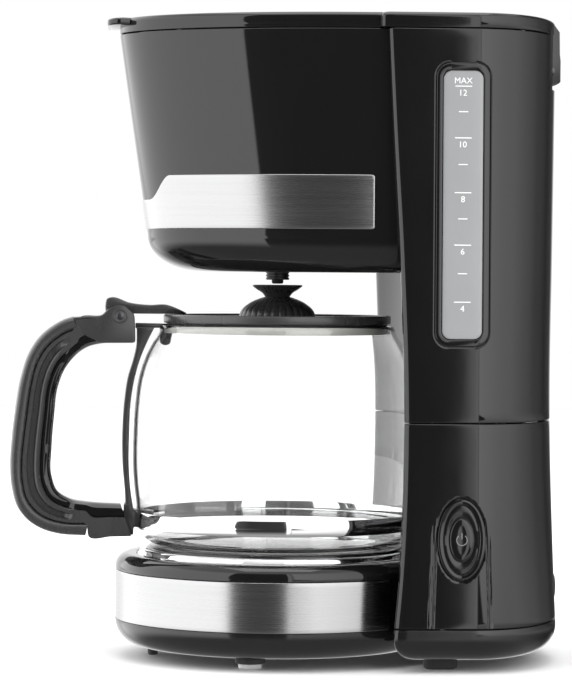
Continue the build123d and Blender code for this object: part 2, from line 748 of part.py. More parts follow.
with BuildPart() as filter_basket:
    add(cone(44, 56.5, basket_low, basket_high))
    with BuildSketch(Plane.XY.offset(spout_low)):
        with Locations((0, jug_y)):
            Circle(spout_radius)
    extrude(amount=basket_low - spout_low)
    add(cone(42.2, 54.9, basket_low + 2, basket_high), mode=Mode.SUBTRACT)
    # valve chamber standing on the floor, with side inlets
    with BuildSketch(Plane.XY.offset(basket_low + 2)):
        with Locations((0, jug_y)):
            Circle(chamber_radius)
    extrude(amount=chamber_top - basket_low - 2)
    with BuildSketch(Plane.XY.offset(basket_low + 4)):
        with Locations((0, jug_y)):
            Circle(chamber_radius - 1.8)
    extrude(amount=chamber_top - basket_low - 6, mode=Mode.SUBTRACT)
    with BuildSketch(Plane.XY.offset(basket_low + 4)):
        with Locations((0, jug_y)):
            Rectangle(30, 8)
    extrude(amount=6, mode=Mode.SUBTRACT)
    with BuildSketch(Plane.XY.offset(spout_low)):
        with Locations((0, jug_y)):
            Circle(spout_bore)
    extrude(amount=basket_low + 6 - spout_low, mode=Mode.SUBTRACT)
    # bail pivots on the rim
    for side in (-1, 1):
        with BuildSketch(Plane.YZ.offset(side * 56.6)):
            with Locations((jug_y, basket_high - 3.5)):
                Circle(2.0)
        extrude(amount=side * 2.6)
    with BuildSketch(Plane.YZ.offset(-54)):
        with Locations((jug_y, basket_high - 3.5)):
            Circle(2.0)
    extrude(amount=-3)
    with BuildSketch(Plane.YZ.offset(54)):
        with Locations((jug_y, basket_high - 3.5)):
            Circle(2.0)
    extrude(amount=3)
save(filter_basket, "filter_basket")

mesh_low, mesh_high = 230.0, 296.0
with BuildPart() as mesh_filter:
    add(cone(36, 53.6, mesh_low, mesh_high))
    add(cone(35.2, 52.8, mesh_low + 0.8, mesh_high), mode=Mode.SUBTRACT)
save(mesh_filter, "mesh_filter")

bail_z = basket_high - 3.5
with BuildPart() as basket_bail:
    with BuildSketch(Plane.XY.offset(bail_z - 1.5)):
        with Locations((0, jug_y)):
            Circle(61.0)
            Circle(57.4, mode=Mode.SUBTRACT)
        with Locations((0, jug_y + 40)):
            Rectangle(140, 80, mode=Mode.SUBTRACT)
    extrude(amount=3)
    for side in (-1, 1):
        with BuildSketch(Plane.YZ.offset(side * 57.4)):
            with Locations((jug_y, bail_z)):
                Circle(3.6)
        extrude(amount=side * 1.8)
    for side in (-1, 1):
        with BuildSketch(Plane.YZ.offset(side * 57.0)):
            with Locations((jug_y, bail_z)):
                Circle(2.06)
        extrude(amount=side * 3, mode=Mode.SUBTRACT)
save(basket_bail, "basket_bail")

# ---- drip stop ----
stem_low = 191.5
disc_low = basket_low + 4 + 5.0
with BuildPart() as drip_valve:
    with BuildSketch(Plane.XY.offset(stem_low)):
        with Locations((0, jug_y)):
            Circle(3.0)
    extrude(amount=disc_low - stem_low)
    with BuildSketch(Plane.XY.offset(disc_low)):
        with Locations((0, jug_y)):
            Circle(8.6)
    extrude(amount=2.0)
save(drip_valve, "drip_valve")

spring_low, spring_high = disc_low + 2.0, chamber_top - 2.0
with BuildPart() as drip_spring:
    with BuildSketch(Plane.XY.offset(spring_low)):
        with Locations((0, jug_y)):
            Circle(6.0)
            Circle(4.6, mode=Mode.SUBTRACT)
    extrude(amount=spring_high - spring_low)
save(drip_spring, "drip_spring")

# ---- jug ----
glass_profile = [(71.8, 66.0), (71.9, 75.0), (72.6, 82.0), (74.0, 95.0), (74.0, 115.0), (73.0, 132.0),
                 (71.6, 142.0), (68.6, 152.0), (64.0, 162.0), (60.3, glass_top)]


def glass_body(inset, low, foot_radius, high):
    """The jug's form turned about its axis, drawn in by inset."""
    sides = [(r - inset, z) for r, z in glass_profile[:-1]] + [(glass_profile[-1][0] - inset, high)]
    with BuildPart() as solid:
        with BuildSketch(Plane.XZ):
            with BuildLine():
                Line((0, low), (foot_radius - inset, low))
                Spline((foot_radius - inset, low), sides[0], tangents=[(1, 0), (0, 1)])
                Spline(*sides, tangents=[(0, 1), (-0.35, 1)])
                Line(sides[-1], (0, high))
                Line((0, high), (0, low))
            make_face()
        revolve(axis=Axis.Z)
    return solid.part.moved(Location((0, jug_y, 0)))


with BuildPart() as carafe_glass:
    add(glass_body(0.0, glass_low, 62.0, glass_top))
    add(glass_body(glass_wall, glass_low + 2.4, 62.0, glass_top), mode=Mode.SUBTRACT)
save(carafe_glass, "carafe_glass")

strap_radius = 72.0
with BuildPart() as carafe_strap:
    with BuildSketch(Plane.XY.offset(strap_low)):
        with Locations((0, jug_y)):
            Circle(strap_radius + 0.8)
            Circle(strap_radius, mode=Mode.SUBTRACT)
    extrude(amount=strap_high - strap_low)
save(carafe_strap, "carafe_strap")

grip_outer = [(-104, 174.3), (-114.5, 169.8), (-122, 163.7), (-127, 156), (-131.4, 143), (-134, 128),
              (-136.8, 97), (-136, 87), (-132.5, 75.6), (-127, 69), (-119.6, 64.7), (-112, 62.6), (-98, 61.5)]
grip_inner = [(-78.5, 77.8), (-96.5, 79.5), (-107, 81.6), (-113, 85), (-115.5, 92), (-115.5, 107),
              (-114.5, 122.7), (-113, 138), (-109, 147.3), (-104, 153.4), (-96.5, 158.5), (-86, 160.4),
              (-78.5, 161.0)]
cover_depth = 7.0
jug_pin = (-80.8, 174.6)
jug_pin_radius = 1.8
screw_radius = 1.8
grip_centre = (-85.0, 116.0)


def towards_centre(point, depth):
    across, up = grip_centre[0] - point[0], grip_centre[1] - point[1]
    reach = sqrt(across ** 2 + up ** 2)
    return (point[0] + across / reach * depth, point[1] + up / reach * depth)


handle_plane = Plane(origin=(0, jug_y, 0), x_dir=(0, 1, 0), z_dir=(1, 0, 0))
cover_inner = [towards_centre(p, cover_depth) for p in grip_outer]
with BuildPart() as handle_cover:
    with BuildSketch(handle_plane.offset(-handle_half)):
        with BuildLine():
            Spline(*grip_outer)
            Line(grip_outer[-1], cover_inner[-1])
            Spline(*cover_inner[::-1])
            Line(cover_inner[0], grip_outer[0])
        make_face()
    extrude(amount=2 * handle_half)
    fillet(handle_cover.faces().sort_by(Axis.Y)[0].edges().filter_by(GeomType.BSPLINE), radius=3.0)
save(handle_cover, "handle_cover")

with BuildPart() as jug_handle:
    with BuildSketch(handle_plane.offset(-handle_half + 0.6)):
        with BuildLine():
            Spline(*cover_inner)
            Line(cover_inner[-1], (-74.5, 62.4))
            Line((-74.5, 62.4), (-74.5, 77.6))
            Line((-74.5, 77.6), grip_inner[0])
            Spline(*grip_inner)
            Line(grip_inner[-1], (-78.5, 170.5))
            Line((-78.5, 170.5), cover_inner[0])
        make_face()
    extrude(amount=2 * handle_half - 1.2)
    # spine beside the glass, from the foot clip up to the neck, and the hook under the lid's ring
    with BuildSketch(handle_plane.offset(-7)):
        with BuildLine():
            Polyline((-78.2, 62.4), (-78.2, 169.2), (-60.8, 169.2), (-60.8, 169.0), (-62.0, 168.6),
                     (-65.4, 162.8), (-70.2, 152.8), (-73.2, 142.8), (-75.0, 132), (-75.8, 115),
                     (-75.8, 95), (-74.6, 82), (-73.4, 75.2), (-73.4, 62.4), (-78.2, 62.4))
        make_face()
    extrude(amount=14)
    # ears for the lid's pin
    for side in (-1, 1):
        with BuildSketch(handle_plane.offset(side * 9.2 - 1.6)):
            with Locations(jug_pin):
                Circle(4.6)
            with Locations((jug_pin[0], 171)):
                Rectangle(9.2, 6)
        extrude(amount=3.2)
    with BuildSketch(handle_plane.offset(-12)):
        with Locations(jug_pin):
            Circle(jug_pin_radius)
    extrude(amount=24, mode=Mode.SUBTRACT)
    # hole of the screw that draws the strap's ends to the handle
    with BuildSketch(Plane(origin=(0, jug_y - 73.0, 70.5), x_dir=(1, 0, 0), z_dir=(0, -1, 0))):
        Circle(screw_radius)
    extrude(amount=9, mode=Mode.SUBTRACT)
save(jug_handle, "jug_handle")

with BuildPart() as strap_screw:
    with BuildSketch(Plane(origin=(0, jug_y - 73.0, 70.5), x_dir=(1, 0, 0), z_dir=(0, -1, 0))):
        Circle(screw_radius)
    extrude(amount=9)
save(strap_screw, "strap_screw")

with BuildPart() as jug_lid_pin:
    with BuildSketch(handle_plane.offset(-11.4)):
        with Locations(jug_pin):
            Circle(jug_pin_radius)
    extrude(amount=22.8)
save(jug_lid_pin, "jug_lid_pin")

with BuildPart() as jug_lid:
    with BuildSketch(Plane.XZ):
        with BuildLine():
            Polyline((2.0, 171.5), (52.0, 171.5), (52.0, glass_top + 0.05), (lid_ring_radius, glass_top + 0.05),
                     (lid_ring_radius, 174.5), (lid_ring_radius - 1.0, 175.5), (19.8, 175.5))
            Spline((19.8, 175.5), (13.5, 180.8), (6.2, 184.6), tangents=[(-0.5, 1), (-1, 0.1)])
            Spline((6.2, 184.6), (8.0, 187.6), (12.8, 190.0), tangents=[(0, 1), (1, 0.3)])
            Line((12.8, 190.0), (12.8, 190.6))
            ThreePointArc((12.8, 190.6), (7.4, 190.95), (2.0, knob_top))
            Line((2.0, knob_top), (2.0, 171.5))
        make_face()
    revolve(axis=Axis.Z)
jug_lid.part = jug_lid.part.moved(Location((0, jug_y, 0)))
save(jug_lid, "jug_lid")

with BuildPart() as lid_lever:
    with BuildSketch(handle_plane.offset(-7.4)):
        with BuildLine():
            Polyline((-88.4, 176.5), (-88.2, 183.2), (-86, 184), (-76, 181.3), (-65.6, 180.2), (-55.4, 180.5),
                     (-51, 179.6), (-47, 176.6), (-47.4, 175.6), (-76, 175.6), (-76.2, 172.4),
                     (-85.2, 172.4), (-85.4, 176.5), (-88.4, 176.5))
        make_face()
    extrude(amount=14.8)
    with BuildSketch(handle_plane.offset(-12)):
        with Locations(jug_pin):
            Circle(jug_pin_radius + 0.05)
    extrude(amount=24, mode=Mode.SUBTRACT)
save(lid_lever, "lid_lever")
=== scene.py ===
import bpy
import json
import math
import numpy as np
from mathutils import Matrix, Vector


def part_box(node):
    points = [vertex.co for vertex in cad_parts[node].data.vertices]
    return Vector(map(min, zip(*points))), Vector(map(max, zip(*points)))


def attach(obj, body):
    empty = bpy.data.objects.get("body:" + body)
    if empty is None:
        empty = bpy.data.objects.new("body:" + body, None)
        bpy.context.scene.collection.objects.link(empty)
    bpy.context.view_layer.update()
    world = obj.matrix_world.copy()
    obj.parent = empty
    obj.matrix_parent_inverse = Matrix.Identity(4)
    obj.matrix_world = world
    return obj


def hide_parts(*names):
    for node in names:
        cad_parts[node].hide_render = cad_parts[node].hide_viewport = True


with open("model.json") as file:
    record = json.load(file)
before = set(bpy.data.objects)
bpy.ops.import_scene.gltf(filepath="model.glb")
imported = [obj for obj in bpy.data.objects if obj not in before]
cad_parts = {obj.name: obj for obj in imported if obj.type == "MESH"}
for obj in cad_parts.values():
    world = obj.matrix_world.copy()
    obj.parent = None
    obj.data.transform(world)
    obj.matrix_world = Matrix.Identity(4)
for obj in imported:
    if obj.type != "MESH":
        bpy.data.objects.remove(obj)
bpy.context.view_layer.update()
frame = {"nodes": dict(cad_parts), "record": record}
nodes = frame["nodes"]


# Lowest and highest corners of a CAD node, in millimetres.
def span(node):
    low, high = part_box(node)
    return np.array(low) * 1000, np.array(high) * 1000


strapLow, strapHigh = span("carafe_strap")
jugY = (strapLow[1] + strapHigh[1]) / 2  # every shape below is measured from the jug's axis
seamTop = span("upper_housing")[1][2]
seamMiddleLow, seamMiddleHigh = span("lower_housing")[1][2], span("upper_housing")[0][2]
seamTray = span("base_tray")[1][2]
seamGap = 0.4  # the shadow gap between two casings
lidLow, lidHigh = seamTop + seamGap, span("top_lid")[1][2]
footHeight = span("base_tray")[0][2]
bandLow, bandHigh = span("base_trim_band")[0][2], span("base_trim_band")[1][2]
puckRadius = span("base_trim_band")[1][0]
hingeZ = (span("hinge_pin")[0][2] + span("hinge_pin")[1][2]) / 2
hingeY = (span("hinge_pin")[0][1] + span("hinge_pin")[1][1]) / 2 - jugY

# meshes from arrays


# Points in millimetres from the jug's axis, with their faces, become a mesh in metres that rides on a
# body.
def addPiece(name, parts, body, slot, replaced=(), finish=None, sharp=38):
    points, faces = parts
    points = np.asarray(points, float).reshape(-1, 3)
    place = (points + (0, jugY, 0)) * 0.001
    mesh = bpy.data.meshes.new(name)
    mesh.from_pydata(place.tolist(), [], faces)
    mesh.polygons.foreach_set("use_smooth", [True] * len(mesh.polygons))
    mesh.validate()
    mesh.set_sharp_from_angle(angle=math.radians(sharp))
    piece = bpy.data.objects.new(name, mesh)
    bpy.context.scene.collection.objects.link(piece)
    mesh.materials.append(finish or slotFinish[slot])
    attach(piece, body)
    if replaced:
        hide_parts(*replaced)
    return piece


# Quads of a rows by columns grid; either direction may close on itself.
def gridFaces(rows, columns, wrapRows=False, wrapColumns=True, flip=False):
    r = np.arange(rows if wrapRows else rows - 1)
    c = np.arange(columns if wrapColumns else columns - 1)
    rr, cc = np.meshgrid(r, c, indexing="ij")
    nr, nc = (rr + 1) % rows, (cc + 1) % columns
    quads = np.stack([rr * columns + cc, rr * columns + nc, nr * columns + nc, nr * columns + cc],
                     -1).reshape(-1, 4)
    if flip:
        quads = quads[:, ::-1]
    return quads.tolist()


# Points and faces of rings stacked in a grid, with flat ends where asked.
def tubeParts(grid, capLow=False, capHigh=False, wrapRows=False, flip=False):
    rows, columns = grid.shape[:2]
    faces = gridFaces(rows, columns, wrapRows, True, flip)
    first = list(range(columns))
    last = list(range((rows - 1) * columns, rows * columns))
    if capLow:
        faces.append(first if flip else first[::-1])
    if capHigh:
        faces.append(last[::-1] if flip else last)
    return grid.reshape(-1, 3), faces


# Several (points, faces) sets as one.
def joinParts(parts):
    points, faces, start = [], [], 0
    for somePoints, someFaces in parts:
        points.append(somePoints)
        faces += [[i + start for i in face] for face in someFaces]
        start += len(somePoints)
    return np.concatenate(points), faces


# A profile of (radius, height) turned about a vertical axis.
def turned(profile, count=128, centre=(0, 0), wrapRows=False, capLow=False, capHigh=False):
    profile = np.asarray(profile, float)
    angle = np.linspace(0, 2 * np.pi, count, endpoint=False)
    ring = np.stack([np.cos(angle), np.sin(angle)], -1)
    grid = np.zeros((len(profile), count, 3))
    grid[:, :, :2] = profile[:, None, :1] * ring[None] + np.array(centre)
    grid[:, :, 2] = profile[:, None, 1]
    return tubeParts(grid, capLow, capHigh, wrapRows)


# Points of a circle's arc, angles in degrees.
def arcPoints(centre, radius, start, end, count=8):
    angle = np.radians(np.linspace(start, end, count))
    return [(centre[0] + radius * math.cos(a), centre[1] + radius * math.sin(a)) for a in angle]


# A smooth line through a few knots: cubic pieces with slopes from the neighbours.
def smoothLine(knots, values, at):
    knots, values, at = (np.asarray(v, float) for v in (knots, values, at))
    slopes = np.gradient(values, knots)
    i = np.clip(np.searchsorted(knots, at) - 1, 0, len(knots) - 2)
    width = knots[i + 1] - knots[i]
    t = np.clip((at - knots[i]) / width, 0, 1)
    return ((2 * t**3 - 3 * t**2 + 1) * values[i] + (t**3 - 2 * t**2 + t) * width * slopes[i]
            + (3 * t**2 - 2 * t**3) * values[i + 1] + (t**3 - t**2) * width * slopes[i + 1])


# A smooth open line through a few points, evenly spaced along its length.
def smoothPath(points, count):
    points = np.asarray(points, float)
    reach = np.concatenate([[0], np.cumsum(np.linalg.norm(np.diff(points, axis=0), axis=1))])
    fine = np.linspace(0, reach[-1], 600)
    dense = np.stack([smoothLine(reach, points[:, k], fine) for k in range(points.shape[1])], -1)
    travelled = np.concatenate([[0], np.cumsum(np.linalg.norm(np.diff(dense, axis=0), axis=1))])
    even = np.linspace(0, travelled[-1], count)
    return np.stack([np.interp(even, travelled, dense[:, k]) for k in range(points.shape[1])], -1)


# 0 below low, 1 above high, and a smooth rise between.
def easeStep(low, high, x):
    t = np.clip((x - low) / (high - low), 0, 1)
    return t * t * (3 - 2 * t)


# Distance to a rounded rectangle's outline, negative inside.
def roundedBox(across, up, halfWidth, halfHeight, radius):
    dx, dz = np.abs(across) - (halfWidth - radius), np.abs(up) - (halfHeight - radius)
    return np.hypot(np.maximum(dx, 0), np.maximum(dz, 0)) + np.minimum(np.maximum(dx, dz), 0) - radius


# Rough distance to an ellipse's outline, negative inside.
def ovalRing(across, up, halfWidth, halfHeight):
    k = np.hypot(across / halfWidth, up / halfHeight)
    slope = np.hypot(across / halfWidth**2, up / halfHeight**2)
    return k * (k - 1) / np.maximum(slope, 1e-6)


# materials


# A material's node tree with short ways to add nodes and links.
class Shader:

    def __init__(self, name):
        self.material = bpy.data.materials.new(name)
        self.material.use_nodes = True
        self.nodes = self.material.node_tree.nodes
        self.links = self.material.node_tree.links
        self.main = self.nodes["Principled BSDF"]

    def set(self, **values):
        for socket, value in values.items():
            self.main.inputs[socket.replace("_", " ")].default_value = value
        return self

    def add(self, kind, **settings):
        node = self.nodes.new(kind)
        for key, value in settings.items():
            if key in node.inputs:
                node.inputs[key].default_value = value
            else:
                setattr(node, key, value)
        return node

    # Object coordinates, stretched and turned.
    def place(self, scale=(1, 1, 1), turn=(0, 0, 0)):
        where = self.add("ShaderNodeTexCoord")
        mapping = self.add("ShaderNodeMapping")
        mapping.inputs["Scale"].default_value = scale
        mapping.inputs["Rotation"].default_value = turn
        self.links.new(where.outputs["Object"], mapping.inputs["Vector"])
        return mapping.outputs["Vector"]

    def noise(self, scale, detail=3.0, stretch=(1, 1, 1), roughness=0.55):
        node = self.add("ShaderNodeTexNoise")
        node.inputs["Scale"].default_value = scale
        node.inputs["Detail"].default_value = detail
        node.inputs["Roughness"].default_value = roughness
        self.links.new(self.place(stretch), node.inputs["Vector"])
        return node.outputs["Fac"]

    # A number moved from one range to another.
    def ramp(self, source, low, high, fromLow=0.3, fromHigh=0.7):
        node = self.add("ShaderNodeMapRange")
        node.inputs["From Min"].default_value = fromLow
        node.inputs["From Max"].default_value = fromHigh
        node.inputs["To Min"].default_value = low
        node.inputs["To Max"].default_value = high
        self.links.new(source, node.inputs["Value"])
        return node.outputs["Result"]

    def mix(self, source, first, second):
        node = self.add("ShaderNodeMix", data_type="RGBA")
        node.inputs[6].default_value = (*first, 1)
        node.inputs[7].default_value = (*second, 1)
        self.links.new(source, node.inputs["Factor"])
        return node.outputs[2]

    def bump(self, source, strength, distance):
        node = self.add("ShaderNodeBump")
        node.inputs["Strength"].default_value = strength
        node.inputs["Distance"].default_value = distance
        self.links.new(source, node.inputs["Height"])
        self.links.new(node.outputs["Normal"], self.main.inputs["Normal"])

    def link(self, source, socket):
        self.links.new(source, self.main.inputs[socket])


# Moulded plastic: a slow change of tone, soft moulding waves or a fine grain, and faint wipe marks.
def plasticMaterial(name, colour, rough, wave=0.0, grain=0.0):
    shader = Shader(name).set(Base_Color=(*colour, 1), Roughness=rough, IOR=1.5)
    tone = shader.noise(18, 4)
    darker = [c * 0.86 for c in colour]
    lighter = [min(1, c * 1.14 + 0.0008) for c in colour]
    shader.link(shader.mix(tone, darker, lighter), "Base Color")
    wipes = shader.noise(60, 5, (1, 1, 0.35))
    shader.link(shader.ramp(wipes, rough * 0.85, rough * 1.3 + 0.01), "Roughness")
    if wave or grain:
        height = shader.noise(1400 if grain else 26, 2)
        shader.bump(height, grain or wave, 0.00012 if grain else 0.0008)
    return shader.material


# Brushed steel: long fine scratches that run round the band, in height, gloss and tone.
def brushedMaterial(name, colour, rough):
    shader = Shader(name).set(Base_Color=(*colour, 1), Metallic=1.0, Roughness=rough)
    stretch = (6, 6, 1800)
    fine = shader.noise(3.0, 5, stretch, 0.7)
    coarse = shader.noise(1.6, 4, stretch, 0.6)
    shader.link(shader.mix(fine, [c * 0.93 for c in colour], [min(1, c * 1.05) for c in colour]),
                "Base Color")
    shader.link(shader.ramp(coarse, rough * 0.9, rough * 1.12), "Roughness")
    shader.set(Anisotropic=0.8, Anisotropic_Rotation=0.25)
    tangent = shader.add("ShaderNodeTangent", direction_type="RADIAL", axis="Z")
    shader.link(tangent.outputs["Tangent"], "Tangent")
    shader.bump(fine, 0.04, 0.0001)
    return shader.material


# Plain metal with faint handling marks.
def metalMaterial(name, colour, rough, bumpScale=120):
    shader = Shader(name).set(Base_Color=(*colour, 1), Metallic=1.0, Roughness=rough)
    marks = shader.noise(bumpScale, 5)
    shader.link(shader.ramp(marks, rough * 0.75, rough * 1.4 + 0.01), "Roughness")
    shader.link(shader.mix(marks, [c * 0.9 for c in colour], colour), "Base Color")
    shader.bump(marks, 0.04, 0.0003)
    return shader.material


# Clear blown glass with a very faint waviness.
def glassMaterial(name, colour):
    shader = Shader(name).set(Base_Color=(*colour, 1), Roughness=0.0, IOR=1.47, Transmission_Weight=1.0)
    waves = shader.noise(9, 2)
    shader.bump(waves, 0.05, 0.001)
    smear = shader.noise(45, 4)
    shader.link(shader.ramp(smear, 0.0, 0.012, 0.45, 0.8), "Roughness")
    return shader.material


# Milky plastic or rubber that lets some light in.
def milkyMaterial(name, colour, through):
    shader = Shader(name).set(Base_Color=(*colour, 1), Roughness=0.32, IOR=1.49,
                              Transmission_Weight=through, Coat_Weight=0.4, Coat_Roughness=0.08)
    cloud = shader.noise(30, 3)
    shader.link(shader.mix(cloud, [c * 0.93 for c in colour], [min(1, c * 1.05) for c in colour]),
                "Base Color")
    shader.bump(shader.noise(500, 2), 0.03, 0.0002)
    return shader.material


glossBlack = plasticMaterial("glossBlack", (0.0062, 0.0062, 0.0064), 0.03)
satinBlack = plasticMaterial("satinBlack", (0.008, 0.008, 0.0083), 0.12, wave=0.03)
handleBlack = plasticMaterial("handleBlack", (0.034, 0.034, 0.035), 0.26, wave=0.06)
innerBlack = plasticMaterial("innerBlack", (0.018, 0.018, 0.019), 0.42, grain=0.3)
rubberBlack = plasticMaterial("rubberBlack", (0.016, 0.016, 0.016), 0.62, grain=0.5)
brushedSteel = brushedMaterial("brushedSteel", (0.41, 0.41, 0.415), 0.27)
polishedSteel = metalMaterial("polishedSteel", (0.86, 0.86, 0.87), 0.045)
platedSteel = metalMaterial("platedSteel", (0.62, 0.62, 0.63), 0.28)
darkSteel = metalMaterial("darkSteel", (0.09, 0.09, 0.095), 0.3)
castMetal = metalMaterial("castMetal", (0.66, 0.66, 0.68), 0.45, 700)
plateCoating = plasticMaterial("plateCoating", (0.012, 0.012, 0.012), 0.1, grain=0.05)
jugGlass = glassMaterial("jugGlass", (0.992, 0.996, 0.994))
windowMilk = milkyMaterial("windowMilk", (0.30, 0.305, 0.31), 0.12)
paleRubber = milkyMaterial("paleRubber", (0.86, 0.86, 0.85), 0.35)
siliconeMilk = milkyMaterial("siliconeMilk", (0.75, 0.74, 0.7), 0.3)
markGrey = plasticMaterial("markGrey", (0.16, 0.16, 0.165), 0.4, grain=0.1)
printWhite = plasticMaterial("printWhite", (0.86, 0.86, 0.86), 0.5, grain=0.1)
wireSleeve = plasticMaterial("wireSleeve", (0.22, 0.22, 0.24), 0.7, grain=0.6)
creamMoulding = plasticMaterial("creamMoulding", (0.72, 0.70, 0.62), 0.45, grain=0.2)
slotFinish = {"gloss_casing": glossBlack, "black_shell": satinBlack, "handle_plastic": handleBlack,
              "inner_plastic": innerBlack, "brushed_band": brushedSteel, "polished_steel": polishedSteel,
              "plate_metal": plateCoating, "cast_aluminium": castMetal, "plain_steel": platedSteel,
              "jug_glass": jugGlass, "window_plastic": windowMilk, "black_rubber": rubberBlack,
              "pale_rubber": paleRubber, "silicone": siliconeMilk, "wire_sleeve": wireSleeve,
              "ceramic_white": creamMoulding}
print("materials made")

# the tower's plan

tower = {
    "cornerHeights": [8, 45, 123, 204, 270, 318], "corners": [50.4, 53.8, 56.3, 53.6, 49.6, 47.0],
    "backHeights": [8, 48, 123, 208, 318], "backs": [145.0, 143.0, 140.6, 141.2, 142.0],
    "halfHeights": [8, 22, 123, 318], "halves": [83.0, 82.9, 80.0, 76.0],
    "middle": 79.0, "backCentre": 95.0, "cornerReach": 8.0, "wall": 2.5,
}
panel = {"low": 70.0, "high": 104.0, "middle": 87.3}
window = {"z": 231.3, "width": 20.4, "height": 133.0, "radius": 4.5, "outerWidth": 27.0,
          "outerHeight": 140.0, "outerRadius": 7.0, "depth": 1.1}
switch = {"z": 66.3, "middle": 87.7, "outer": (11.9, 20.0), "inner": (8.85, 17.0), "button": (5.9, 10.5),
          "seat": (12.6, 20.8), "seatDepth": 0.5, "lineFade": (70, 62), "lineFlare": (60, 22),
          "lineWidth": 0.33}
niche = {"half": 34.0, "low": hingeZ - 9.5, "outerY": hingeY - 10.0, "innerY": hingeY - 14.5}


# Half width, place of the front corners and depth behind the back centre: smooth lines through knots by
# height.
def towerSizes(z, inset):
    half = smoothLine(tower["halfHeights"], tower["halves"], z) - inset
    corner = smoothLine(tower["cornerHeights"], tower["corners"], z) + inset
    depth = smoothLine(tower["backHeights"], tower["backs"], z) - inset - tower["backCentre"]
    return half, corner, depth


# Half width of the tower at a place along its side and a height.
def sideX(y, z, inset=0.0):
    half, _, depth = towerSizes(z, inset)
    reach = np.clip((y - tower["backCentre"]) / depth, 0, 1)
    return half * np.sqrt(1 - reach**2)


# Places that crowd round centre - half and centre + half, where a groove runs.
def fineSteps(centre, half, fine, coarse):
    edge = np.concatenate([np.arange(-1.6, 1.61, fine)])
    inner = np.arange(-half + 1.6 + coarse, half - 1.6, coarse)
    return np.concatenate([centre - half + edge, centre + inner, centre + half + edge])


# The plan carried through heights, drawn in by inset: +X side, half-elliptical back, -X side, rounded
# corner, hollow front on a circle through both corners and the middle, rounded corner.
def towerGrid(zs, insets, sideYs, relief=None, withNiche=False):
    zs, insets = np.asarray(zs, float)[:, None], np.asarray(insets, float)[:, None]
    half, corner, depth = towerSizes(zs, insets)
    reach = tower["cornerReach"]
    start = np.linspace(0, 1, 7)[None, :-1]
    flankY = corner + reach + (sideYs[0] - corner - reach) * start
    flank = np.stack([half + 0 * flankY, flankY], -1)
    panelY = np.asarray(sideYs)[None] + 0 * zs
    panelX = sideX(panelY, zs, insets)
    if relief is not None:
        panelX = panelX - np.where(insets < 1e-6, relief(panelY, zs + 0 * panelY), 0)
    panelPart = np.stack([panelX, panelY], -1)
    firstAngle = np.arcsin((sideYs[-1] - tower["backCentre"]) / depth)
    nicheAngles = np.arccos(np.clip(np.array([niche["half"] + 0.15, niche["half"] - 0.15]) / half, -1, 1))
    a = firstAngle + (nicheAngles[:, :1] - firstAngle) * np.linspace(0, 1, 22)[None, 1:-1]
    b = nicheAngles
    c = nicheAngles[:, 1:] + (np.pi - 2 * nicheAngles[:, 1:]) * np.linspace(0, 1, 40)[None, 1:-1]
    angle = np.concatenate([a, b, c, np.pi - b[:, ::-1], np.pi - a[:, ::-1]], 1)
    back = np.stack([half * np.cos(angle), tower["backCentre"] + depth * np.sin(angle)], -1)
    farY = np.linspace(sideYs[-1], sideYs[0], 14)[None] + 0 * zs
    farSide = np.stack([-sideX(farY, zs, insets), farY], -1)
    farFlankY = sideYs[0] + (corner + reach - sideYs[0]) * np.linspace(0, 1, 7)[None, 1:]
    farFlank = np.stack([-half + 0 * farFlankY, farFlankY], -1)
    # hollow front: circle through (-half, corner), (0, middle), (half, corner)
    middle = tower["middle"] + insets
    sag = middle - corner
    radius = (half**2 + sag**2) / (2 * sag)
    centreY = middle - radius
    fullAngle = np.arcsin(half / radius)
    cut = reach / radius
    frontAngle = (fullAngle - cut) * np.linspace(-1, 1, 48)[None]
    front = np.stack([radius * np.sin(frontAngle), centreY + radius * np.cos(frontAngle)], -1)
    t = np.linspace(0, 1, 10)[None, 1:-1, None]

    # A soft corner: the curve drawn by three points, weighted towards the tip.
    def bend(first, tip, last):
        weight = 0.9
        top = (1 - t) ** 2 * first[:, None] + 2 * weight * t * (1 - t) * tip[:, None]
        top = top + t**2 * last[:, None]
        return top / ((1 - t) ** 2 + 2 * weight * t * (1 - t) + t**2)

    farCorner = bend(farFlank[:, -1], np.concatenate([-half, corner], 1), front[:, 0])
    nearCorner = bend(front[:, -1], np.concatenate([half, corner], 1), flank[:, 0])
    ring = np.concatenate([flank, panelPart, back, farSide, farFlank, farCorner, front, nearCorner], 1)
    if withNiche:
        inside = (np.abs(ring[..., 0]) < niche["half"]) & (ring[..., 1] > tower["backCentre"])
        inside = inside & (zs > niche["low"])
        wallY = np.where(insets < 2, niche["outerY"], niche["innerY"])
        ring[..., 1] = np.where(inside, np.minimum(ring[..., 1], wallY), ring[..., 1])
    grid = np.zeros((*ring.shape[:2], 3))
    grid[..., :2] = ring
    grid[..., 2] = zs
    return grid


# Heights and insets that go up the inside, over the rim, down the outside and under.
def shellSteps(low, high, wall, floor=None, bevel=0.6, rows=24, extra=()):
    inner = floor if floor is not None else low + wall
    outside = np.unique(np.concatenate([np.linspace(low + bevel, high - bevel, rows),
                                        np.asarray(extra, float)]))
    roundHigh = [(high - bevel + bevel * math.sin(a), bevel - bevel * math.cos(a))
                 for a in np.linspace(1.57, 0, 5)]
    roundLow = [(low + bevel - bevel * math.sin(a), bevel - bevel * math.cos(a))
                for a in np.linspace(0, 1.57, 5)]
    steps = [(inner, wall), (high - bevel, wall), (high, wall - 0.3)] + roundHigh[:-1]
    steps += [(z, 0.0) for z in outside[::-1]] + roundLow[1:]
    return np.array(steps)


# upper housing: the tank, with its window recess
panelColumns = fineSteps(panel["middle"], window["outerWidth"] / 2, 0.2, 1.2)
panelColumns = np.unique(np.round(np.concatenate([[panel["low"]],
                                                  fineSteps(panel["middle"], window["width"] / 2, 0.25,
                                                            1.2), panelColumns, [panel["high"]]]), 3))


